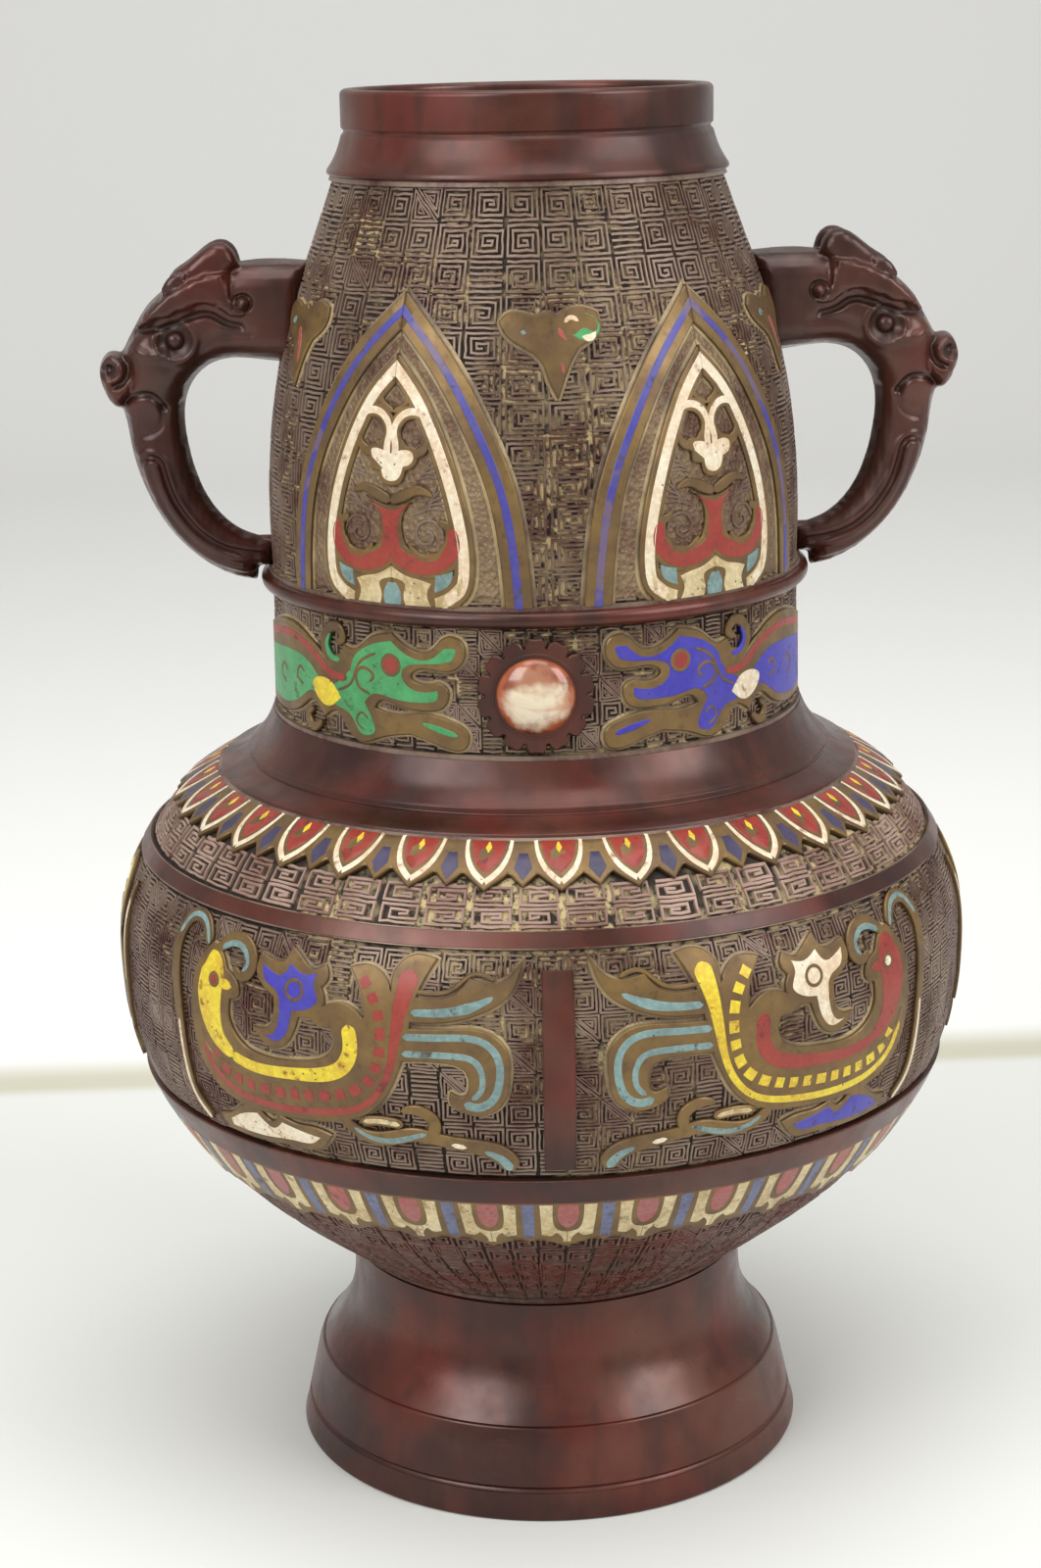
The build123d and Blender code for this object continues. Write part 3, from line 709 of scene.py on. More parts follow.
def shell(name, surface, steps, material, slot, node, ends):
    """A turned casting: its stepped outer side, and a smooth inner side one wall further in."""
    out = outer(surface, steps)
    inner = outer(surface, [(steps[0][0] + ends, steps[-1][1] - ends, -wall)], 3.0)
    low, high = steps[0][0], steps[-1][1]
    out = [(r, min(max(z, low), high)) for r, z in out]
    inner = [(inner[0][0], low)] + inner + [(inner[-1][0], high)]
    depth = [1.0 if lift <= ground else 0.0 for _, _, lift in steps]
    b = Build()
    turned(b, out + inner[::-1])
    shades = []
    for (a, c, _), d in zip(steps, depth):
        shades += [d] * max(2, int((c - a) / 1.2) + 1)
    shades += [1.0] * len(inner)
    b.depth = [np.tile(shades, 288)]
    return b.make(name, material, slot, (node,), smooth="edges")


shell(
    "Neck_casting", neck_side,
    [(neck_z, neck_z + 0.8, -0.3), (neck_z + 0.8, rim_z - 1.0, ground), (rim_z - 1.0, rim_z, -0.3)],
    relief, "bronze", "neck", 0.4,
)
shell(
    "Band_casting", band_side,
    [(band_z, band_z + 1.0, -0.2), (band_z + 1.0, bead_low, ground), (bead_low, neck_z, -0.1)],
    relief, "bronze", "neck_band", 0.4,
)
shell(
    "Upper_body_casting", body,
    [(seam_z, ornament_top, ground), (ornament_top, plain_top, metal_top),
     (plain_top, shoulder_z - 0.7, ground), (shoulder_z - 0.7, shoulder_z, -0.3)],
    relief, "bronze", "upper_body", 0.4,
)
shell(
    "Lower_body_casting", body,
    [(foot_top, lower_fret_z, -0.4), (lower_fret_z, tongue_top, ground), (tongue_top, seam_z, metal_top)],
    relief_shaded_lower, "bronze", "lower_body", 0.4,
)


def smooth_turned(name, profile, material, slot, node, segments=288):
    b = Build()
    turned(b, profile, segments)
    return b.make(name, material, slot, (node,), smooth="edges")


def arc(centre, radius, start, end, count=8):
    """Points of an arc in a section; angles in degrees, 0 is outward and 90 is up."""
    turns = [radians(start + (end - start) * i / count) for i in range(count + 1)]
    return [(centre[0] + radius * cos(t), centre[1] + radius * sin(t)) for t in turns]


# Plain bands that stand round the body between the zones.
plain = Build()
for surface, low, high in ((body, ornament_top, plain_top), (body, tongue_top, seam_z)):
    n = 288
    ring_band(plain, surface, np.full(n, low), np.full(n, high), top=-0.06, bottom=-1.2, bevel=0.3, rows=6)
plain.make("Plain_body_bands", bronze_smooth, "bronze", smooth="edges")

# Foot: flared skirt with a turned line, a soft-edged ledge, and a hollow neck.
line_z = 6.8
skirt_top = skirt_height


def skirt_at(z):
    return base_radius + (foot_edge_radius - base_radius) * z / skirt_height


cove = spline(
    [
        (foot_edge_radius - 0.9, skirt_top + 0.15),
        ((foot_edge_radius + foot_neck_radius) / 2 - 1.6, skirt_top + 7.0),
        (foot_neck_radius + 0.2, skirt_top + 14.0), (foot_neck_radius, foot_top),
    ],
    1.0
)
foot_profile = [(base_radius - 6.0, 0.0), (base_radius - 0.8, 0.0)]
foot_profile += arc((base_radius - 0.8, 0.75), 0.72, -80, 0, 5)
foot_profile += [(skirt_at(z) - 0.05, z) for z in (2.5, 4.0, 5.2, line_z - 0.75)]
foot_profile += [(skirt_at(line_z) - 0.55, line_z - 0.35), (skirt_at(line_z) - 0.7, line_z)]
foot_profile += [(skirt_at(line_z) - 0.55, line_z + 0.35)]
foot_profile += [(skirt_at(z) - 0.05, z) for z in (line_z + 0.75, 9.5, 12.0, 15.0, 18.0)]
foot_profile += arc((foot_edge_radius - 0.95, skirt_top - 0.85), 0.85, 10, 88, 6)
foot_profile += [tuple(p) for p in cove[1:]]
foot_profile += [(foot_neck_radius - 4.0, foot_top), (foot_neck_radius - 4.0, skirt_top + 10.0)]
foot_profile += [
    (foot_edge_radius - wall - 2.0, skirt_top - wall), (base_radius - 8.5, 5.6), (base_radius - 6.0, 5.6)
]
smooth_turned("Foot_casting", foot_profile, bronze_smooth, "bronze", "foot")

# Shoulder ring: a low slope, a small step, and a cove up to the band.
step_z = shoulder_z + 2.8
ring_step = 64.4
ring_cove = spline([
    (ring_step - 0.25, step_z + 1.45), (neck_radius + 2.6, shoulder_z + 7.5), (neck_radius + 0.05, band_z),
], 0.7)
ring_profile = [(shoulder_radius - 0.25, shoulder_z)] + arc(
    (shoulder_radius - 0.8, shoulder_z + 0.1), 0.5, 0, 60, 4
)
ring_profile += [(shoulder_radius - 3.0, shoulder_z + 1.15), (ring_step + 0.5, step_z - 0.2)]
ring_profile += arc((ring_step + 0.1, step_z + 0.25), 0.3, -70, -180, 4)
ring_profile += arc((ring_step - 0.45, step_z + 1.1), 0.35, 0, 80, 4)
ring_profile += [tuple(p) for p in ring_cove[1:]]
ring_profile += [
    (neck_radius - wall, band_z), (neck_radius - wall, step_z + 1.4), (shoulder_radius - 5.0, shoulder_z)
]
smooth_turned("Shoulder_ring_turned", ring_profile, bronze_smooth, "bronze", "shoulder_ring")

# Bead between the band and the neck.
bead_mid = (bead_low + neck_z) / 2
bead_half = (neck_z - bead_low) / 2
bead_profile = [
    (neck_radius - 0.1 + (bead_radius - neck_radius + 0.08) * cos(t), bead_mid + (bead_half - 0.02) * sin(t))
    for t in np.linspace(-pi / 2, pi / 2, 13)
]
smooth_turned("Neck_bead_turned", bead_profile, bronze_smooth, "bronze", "neck_bead")

# Rim: a cove, a turned line, and a band with a rounded lip.
rim_line = rim_z + 8.8
rim_cove = spline([
    (rim_under_radius + 0.45, rim_z + 0.9), ((rim_under_radius + mouth_radius) / 2, rim_z + 3.96),
    (mouth_radius - 0.02, rim_line - 0.8),
], 0.6)
rim_profile = [
    (rim_under_radius - wall, rim_z), (rim_under_radius + 0.2, rim_z),
    (rim_under_radius + 0.47, rim_z + 0.3)
]
rim_profile += [tuple(p) for p in rim_cove]
rim_profile += [
    (mouth_radius - 0.5, rim_line - 0.3), (mouth_radius - 0.62, rim_line),
    (mouth_radius - 0.5, rim_line + 0.3)
]
rim_profile += [(mouth_radius - 0.06, rim_line + 0.75), (mouth_radius - 0.02, rim_line + 2.5)]
rim_profile += arc((mouth_radius - 1.22, mouth_z - 1.22), 1.2, 0, 90, 8)
rim_profile += arc((mouth_bore + 1.22, mouth_z - 1.22), 1.2, 90, 180, 8)
rim_profile += [(mouth_bore + 0.02, mouth_z - 11.2), (rim_under_radius - wall, rim_z)]
smooth_turned("Mouth_rim_turned", rim_profile, bronze_smooth, "bronze", "mouth_rim")


# ---------------------------------------------------------------- frets
def squared_spiral(width, height, turns):
    """A square spiral drawn from its outer corner inward, in a cell of the given size."""
    px, pz = width / (2 * turns + 0.9), height / (2 * turns + 0.9)
    left, right, low, high = px * 0.5, width - px * 0.5, pz * 0.5, height - pz * 0.5
    path = [(left, low)]
    while right - left > px * 0.6 and high - low > pz * 0.6:
        path += [(right, low), (right, high), (left, high)]
        low += pz
        if high - low < pz * 0.6:
            break
        path.append((left, low))
        left += px
        right -= px
        high -= pz
        path.append((left, low))
    clean = [path[0]]
    for p in path[1:]:
        if hypot(p[0] - clean[-1][0], p[1] - clean[-1][1]) > 0.05:
            clean.append(p)
    return np.array(clean)


def nested(width, height, turns, corners):
    """Closed nested outlines of a square or a triangle, each drawn as a line that meets itself."""
    middle = corners.mean(0)
    lines = []
    for i in range(turns):
        share = 1 - (i + 0.35) / turns
        ring = middle + (corners - middle) * share
        lines.append(np.vstack([ring, ring[:1]]) * (width, height))
    return lines


triangle_low = np.array([(0.0, 0.0), (1.0, 0.0), (0.0, 1.0)])
triangle_high = np.array([(1.0, 0.08), (1.0, 1.0), (0.06, 1.0)])


def wobbly(path, amount, longest=2.2):
    """The path with extra points on long sides, and each point moved a little."""
    out = [path[0]]
    for a, b in zip(path, path[1:]):
        parts = max(1, int(np.ceil(hypot(*(b - a)) / longest)))
        out += [a + (b - a) * k / parts for k in range(1, parts + 1)]
    out = np.array(out)
    return out + random.normal(0, amount, out.shape)


def fret(name, surface, low, high, columns, rows, turns, line, material, mixed=0.0, halves=2, reference=None,
         top=fret_top):
    """Cells of squared spirals and nested triangles all round the vase."""
    reference = reference or surface.reference
    width = 2 * pi * reference / columns
    height = (high - low) / rows
    spot_surface = at_reference(surface, reference)
    builds = [Build() for _ in range(halves)]
    for row in range(rows):
        for column in range(columns):
            turn = (column + 0.5) * 360 / columns
            kind = random.random()
            if kind < mixed * 0.5:
                lines = nested(width, height, 3, triangle_low) + nested(width, height, 3, triangle_high)
            elif kind < mixed:
                lines = [
                    np.array(
                        [(0.5, (k + 0.5) * height / 6), (width - 0.5, (k + 0.5) * height / 6)]
                    ) for k in range(6)
                ]
            else:
                path = squared_spiral(width, height, turns)
                if random.random() < 0.5:
                    path = path * (-1, 1) + (width, 0)
                if random.random() < 0.5:
                    path = path * (1, -1) + (0, height)
                lines = [path]
            put = spot_surface.spot(turn)
            b = builds[int(column * halves / columns)]
            for path in lines:
                path = wobbly(path - (width / 2, 0) + (0, low + row * height), 0.07)
                ridge(
                    b, put, path, line * random.uniform(0.85, 1.15), top + random.uniform(-0.08, 0.05),
                    ground - 0.15
                )
    for i, b in enumerate(builds):
        b.make(f"{name}_{i + 1}", material, "bronze")


neck_columns = 40
fret("Neck_fret", neck_side, neck_z + 1.0, rim_z - 0.8, neck_columns, 12, 3, 0.62, relief, mixed=0.10)
fret("Band_fret", band_side, band_z + 1.4, bead_low - 0.4, 74, 5, 2, 0.5, relief, mixed=0.35)
fret("Belly_fret", body, seam_z + 0.6, ornament_top - 0.4, 92, 8, 3, 0.55, relief, mixed=0.35, halves=3)
fret("Shoulder_fret", body, plain_top + 0.5, squares_top + 1.0, 56, 2, 2, 0.62, relief_lit_shoulder, reference=86.0)
fret("Lower_fret", body, lower_fret_z + 0.8, tongue_low + 1.0, 84, 6, 2, 0.6, relief_shaded_lower, reference=68.0,
     mixed=0.3, halves=2)


# ---------------------------------------------------------------- ornament
class Motif:
    """Builds of one ornament, one for the metal and one for each enamel colour."""

    def __init__(self):
        self.builds = {}

    def __getitem__(self, colour):
        return self.builds.setdefault(colour, Build())

    def metal(self, spot, runs, **size):
        flat = outline(*runs)
        plate(self["metal"], spot, flat, **size)
        stroke(self["deposit"], spot, flat, 1.3, top=fret_top + 0.1, bottom=-1.9, bevel=0.3, closed=True)

    def wire(self, spot, path, width, **size):
        stroke(self["metal"], spot, spline(path), width, **size)

    def cell(self, colour, spot, path, width, **size):
        size = {"top": enamel_top, "bottom": -1.2, "bevel": 0.12, **size}
        stroke(self[colour], spot, spline(path), width, **size)

    def patch(self, colour, spot, runs, **size):
        size = {"top": enamel_top, "bottom": -1.2, "bevel": 0.12, "grid": 3.0, **size}
        plate(self[colour], spot, outline(*runs), **size)

    def disc(self, colour, spot, centre, radius, **size):
        size = {"top": enamel_top + 0.04, "bottom": -1.2, "bevel": 0.12, "grid": 3.0, **size}
        turns = np.arange(20) * 2 * pi / 20
        plate(
            self[colour], spot,
            np.column_stack([centre[0] + radius * np.cos(turns), centre[1] + radius * np.sin(turns)]),
            **size
        )

    def make(self, name, replaced):
        for colour, b in self.builds.items():
            nodes = replaced.get(colour, ())
            if colour == "metal":
                b.make(f"{name}_metal", brass_rim, "bronze", nodes, smooth="edges")
            elif colour == "deposit":
                b.make(f"{name}_deposit", deposit, "bronze", nodes, smooth="edges")
            elif colour == "dark":
                b.make(f"{name}_bronze", relief, "bronze", nodes, smooth="edges")
            elif colour == "grain":
                b.make(f"{name}_ground", pebbled, "bronze", nodes, smooth="edges")
            elif colour == "plain":
                b.make(f"{name}_plain", bronze_smooth, "bronze", nodes, smooth="edges")
            else:
                b.make(f"{name}_{colour}", enamels[colour], enamel_slots[colour], nodes, smooth="edges")


def dashes(motif, colour, spot, path, width, length, gap):
    """Short separate cells along a path."""
    path = resample(spline(path), 0.5)
    at = 0
    while at + 2 < len(path):
        count = max(3, int(round(length * random.uniform(0.85, 1.15) / 0.5)))
        piece = path[at:at + count]
        if len(piece) >= 3:
            stroke(
                motif[colour], spot, piece, width, top=enamel_top, bottom=-1.2, bevel=0.12,
                round_ends=False, step=0.5
            )
        at += count + max(1, int(round(gap / 0.5)))


# Neck: four tall lappets with a leaf-shaped medallion in each.
foot_z = neck_z + 0.45
lappet_side = [(30.0, foot_z), (29.0, 216.0), (26.5, 229.0), (21.5, 241.0), (12.5, 255.0), (0.0, 266.5)]


def scaled_inward(side, distance):
    """A half outline moved towards its middle, ending on the middle line."""
    side = spline(side)
    step = np.gradient(side, axis=0)
    step /= np.linalg.norm(step, axis=1, keepdims=True)
    moved = side + distance * np.column_stack([-step[:, 1], step[:, 0]])
    moved[0, 1] = side[0, 1]
    keep = moved[moved[:, 0] > 0.0]
    slope = (keep[-1] - keep[-2]) / max(1e-6, keep[-2, 0] - keep[-1, 0])
    tip = keep[-1] + slope * keep[-1, 0]
    return np.vstack([keep, [(0.0, tip[1])]])


def arch_band(build, spot, side, near, far, **size):
    """A band between two inward offsets of a half outline, on both sides, meeting at the tip."""
    out, inn = scaled_inward(side, near), scaled_inward(side, far)
    for hand in (1, -1):
        ring = np.vstack([out, inn[::-1]])
        plate(build, spot, ring * (hand, 1), **{"grid": 50.0, **size})


def full(side):
    """Both halves of a symmetrical outline from its right half, foot to tip."""
    side = np.array(side, float)
    return np.vstack([side, side[::-1][1:] * (-1, 1)])


def lappet(m, spot):
    """Blue-striped arch, granular ground, and a white-edged medallion."""
    plate(
        m["grain"], spot, full(scaled_inward(lappet_side, 1.0)), top=fret_top + 0.06, bottom=-2.0,
        bevel=0.2
    )
    arch_band(m["deposit"], spot, lappet_side, -0.9, 6.6, top=fret_top + 0.14, bottom=-1.9)
    arch_band(m["metal"], spot, lappet_side, 0.0, 5.7)
    arch_band(m["violet"], spot, lappet_side, 2.0, 3.7, top=enamel_top, bottom=-1.2, bevel=0.12)
    medallion(m, spot)


medal_side = [
    (12.5, foot_z), (16.2, 206.5), (17.6, 212.0), (17.0, 220.0), (14.2, 231.0), (9.8, 241.5),
    (5.6, 248.0), (0.0, 253.6),
]


def medallion(m, spot):
    arch_band(m["deposit"], spot, medal_side, -1.6, 4.4, top=fret_top + 0.2, bottom=-1.9)
    arch_band(m["metal"], spot, medal_side, -0.7, 3.7, top=metal_top - 0.02)
    arch_band(m["white"], spot, medal_side, 0.35, 2.7, top=enamel_top, bottom=-1.2, bevel=0.12)
    inner = full(scaled_inward(medal_side, 1.5))
    plate(m["grain"], spot, inner, top=fret_top + 0.12, bottom=-2.0, bevel=0.2)
    for hand in (1, -1):
        side = spot.mirrored if hand < 0 else spot
        # White bridge that loops over two open hollows, each with a brass crescent under it.
        loop = [(4.9 + 4.4 * cos(t), 238.8 + 4.4 * sin(t)) for t in np.linspace(radians(5), radians(205), 9)]
        m.wire(side, loop + [(0.9, 233.6)], [2.6, 3.0, 3.0, 3.2])
        m.cell("white", side, [(8.9, 240.0)] + loop[2:] + [(0.9, 233.6)], [1.6, 1.6, 1.6, 1.8])
        m.wire(
            side, [(8.4, 238.4), (7.6, 236.0), (5.0, 234.9), (2.8, 236.0), (2.2, 237.8)],
            [0.9, 2.0, 2.2, 1.0], top=metal_top + 0.05
        )
        m.wire(side, [(3.0, 247.4), (3.2, 245.2), (0.0, 243.0)], 1.3)
        # Moustache-shaped tip of the red stem.
        m.wire(side, [(0.0, 225.2), (3.6, 226.7), (6.4, 227.6), (9.6, 226.6)], [2.0, 2.4, 1.9, 0.8])
        # Red arm round a hollow with a spiral in it.
        m.wire(
            side, [(13.6, 222.0), (14.4, 217.5), (12.2, 213.6), (7.6, 212.2), (2.6, 213.6), (0.0, 216.0)],
            [3.6, 5.0, 5.2, 5.2, 5.6]
        )
        m.cell(
            "red", side,
            [(13.5, 220.2), (14.0, 216.6), (11.6, 213.5), (7.4, 212.3), (2.8, 213.4), (0.4, 215.2)],
            [2.2, 3.2, 3.5, 3.5, 3.6]
        )
        m.wire(side, [(10.8, 221.6), (13.3, 220.6), (14.6, 222.2)], [1.3, 1.9, 1.2])
        m.wire(
            side, [(4.4, 216.4), (7.2, 213.9), (10.6, 214.6), (12.0, 217.4)], [0.9, 1.5, 1.5, 0.9],
            top=metal_top + 0.05
        )
        spiral = [
            (
                8.2 + (3.6 - 0.5 * t) * cos(t * 1.35), 218.6 + (3.6 - 0.5 * t) * sin(t * 1.35)
            ) for t in np.linspace(0, 6.4, 22)
        ]
        stroke(m["dark"], side, spline(spiral), 0.6, top=-0.45, bottom=-1.7, bevel=0.15)
        for k in range(5):
            a = (5.0 + k * 0.9, 222.6 + k * 0.2)
            b = (12.6 - k * 0.5, 224.0 + k * 1.25)
            stroke(
                m["dark"], side, spline([a, ((a[0] + b[0]) / 2, (a[1] + b[1]) / 2 + 0.7), b]), 0.55,
                top=-0.55, bottom=-1.7, bevel=0.15
            )
        for k in range(4):
            stroke(
                m["dark"], side,
                spline(
                    [
                        (5.6 + k, 229.6 + k * 0.8), (8.6, 230.4 + k * 0.9),
                        (12.4 - k * 0.8, 229.4 + k * 1.2)
                    ]
                ),
                0.5, top=-0.6, bottom=-1.7, bevel=0.15
            )
        # Cream base with a teal cell in its corner.
        m.metal(
            side,
            [
                [(0.0, foot_z), (15.0, foot_z)], [(15.0, foot_z), (16.6, 208.0), (16.8, 212.0)],
                [(16.8, 212.0), (9.0, 210.0), (3.4, 211.2), (0.0, 213.6)], [(0.0, 213.6), (0.0, foot_z)]
            ],
            top=metal_top - 0.04
        )
        m.patch(
            "cream", side,
            [
                [(3.0, foot_z + 0.1), (8.8, foot_z + 0.1)],
                [(8.8, foot_z + 0.1), (8.0, 206.6), (9.0, 208.8)],
                [(9.0, 208.8), (6.2, 209.6), (3.4, 210.2), (0.0, 212.0)], [(0.0, 212.0), (0.0, 209.6)],
                [(0.0, 209.6), (3.0, 208.4), (2.6, 206.2), (3.0, foot_z + 0.1)]
            ]
        )
        m.patch(
            "teal", side,
            [
                [(9.6, 207.0), (12.8, 208.6), (13.8, 211.6)],
                [(13.8, 211.6), (11.6, 210.9), (9.9, 210.6)], [(9.9, 210.6), (9.6, 207.0)]
            ]
        )
        m.patch(
            "cream", side,
            [
                [(9.8, foot_z + 0.1), (13.4, foot_z + 0.6), (15.4, 207.4), (15.9, 211.4)],
                [(15.9, 211.4), (14.8, 209.6), (12.4, 207.2), (9.6, 205.9)],
                [(9.6, 205.9), (9.8, foot_z + 0.1)]
            ]
        )
    m.metal(
        spot,
        [
            [(-5.2, 233.4), (-6.0, 236.0), (-3.0, 236.4)], [(-3.0, 236.4), (0.0, 235.6), (3.0, 236.4)],
            [(3.0, 236.4), (6.2, 235.6), (5.6, 232.6), (3.4, 231.4)],
            [(3.4, 231.4), (2.2, 228.8), (0.0, 228.2), (-2.2, 229.0), (-2.9, 231.2)],
            [(-2.9, 231.2), (-5.0, 231.6), (-5.2, 233.4)]
        ],
        top=metal_top + 0.02
    )
    m.patch(
        "white", spot,
        [
            [
                (-4.6, 233.8), (-4.9, 235.4), (-2.6, 235.6), (0.0, 234.8), (2.6, 235.6), (5.2, 234.9),
                (4.9, 233.0), (3.0, 232.2)
            ],
            [(3.0, 232.2), (1.8, 229.7), (0.0, 229.2), (-1.7, 229.9), (-2.3, 232.0)],
            [(-2.3, 232.0), (-4.6, 233.8)]
        ],
        top=enamel_top + 0.05
    )
    m.metal(
        spot,
        [
            [(-6.2, 226.0), (-3.2, 223.4), (-2.6, 219.0), (-4.2, 214.8)], [(-4.2, 214.8), (4.2, 214.8)],
            [(4.2, 214.8), (2.6, 219.0), (3.2, 223.4), (6.2, 226.0)],
            [(6.2, 226.0), (0.0, 224.4), (-6.2, 226.0)]
        ],
        top=metal_top - 0.03
    )
    m.patch(
        "red", spot,
        [
            [(-4.9, 225.0), (-2.4, 222.6), (-1.8, 219.0), (-2.6, 214.6)], [(-2.6, 214.6), (2.6, 214.6)],
            [(2.6, 214.6), (1.8, 219.0), (2.4, 222.6), (4.9, 225.0)],
            [(4.9, 225.0), (0.0, 223.4), (-4.9, 225.0)]
        ],
        top=enamel_top + 0.02
    )
    m.patch(
        "teal", spot,
        [
            [(-1.9, foot_z + 0.1), (-2.1, 206.4), (-1.0, 208.6)], [(-1.0, 208.6), (1.0, 208.6)],
            [(1.0, 208.6), (2.1, 206.4), (1.9, foot_z + 0.1)], [(1.9, foot_z + 0.1), (-1.9, foot_z + 0.1)]
        ]
    )


def trefoil(m, spot, worn):
    """A small three-lobed leaf, mostly rubbed down to its brass."""
    m.metal(
        spot,
        [
            [(-12.0, 260.8), (-10.4, 258.2), (-7.4, 256.2), (-4.6, 254.8)],
            [(-4.6, 254.8), (-2.4, 252.6), (-1.2, 249.4), (0.8, 245.6)],
            [(0.8, 245.6), (2.6, 250.0), (4.2, 253.2), (6.0, 255.6)],
            [(6.0, 255.6), (8.8, 257.2), (10.8, 259.6), (10.6, 262.4)],
            [(10.6, 262.4), (7.2, 263.4), (3.4, 262.9), (1.0, 261.6)],
            [(1.0, 261.6), (-0.6, 262.5), (-3.4, 261.8)],
            [(-3.4, 261.8), (-6.8, 262.6), (-10.0, 262.6), (-12.0, 260.8)]
        ],
        bevel=0.35
    )
    if worn:
        m.patch(
            "green", spot,
            [
                [(5.2, 258.2), (7.4, 259.3), (9.6, 258.6), (10.2, 260.4), (7.6, 262.0), (9.4, 261.6)],
                [(9.4, 261.6), (10.9, 259.4), (9.4, 257.4), (7.0, 256.8), (4.4, 258.0)],
                [(4.4, 258.0), (5.2, 258.2)]
            ]
        )
        m.cell("white", spot, [(2.8, 260.4), (4.4, 261.4), (6.0, 260.6)], 1.0, top=enamel_top + 0.03)
        m.cell(
            "white", spot, [(6.6, 257.6), (8.6, 257.4), (9.8, 258.4)], [0.9, 1.6, 1.0],
            top=enamel_top + 0.05
        )
        m.cell("rose", spot, [(1.4, 259.4), (2.4, 257.8), (3.2, 257.0)], [1.4, 1.2, 0.5])
        m.cell("teal", spot, [(-7.0, 258.8), (-5.8, 258.6)], 1.1)
        m.cell("rose", spot, [(1.8, 252.8), (2.2, 250.6)], 0.8)
    else:
        m.cell("rose", spot, [(-1.0, 257.6), (0.6, 254.0), (1.2, 250.6)], [1.8, 1.8, 0.8])
        m.cell("teal", spot, [(-7.0, 258.6), (-4.6, 258.8)], 1.6)


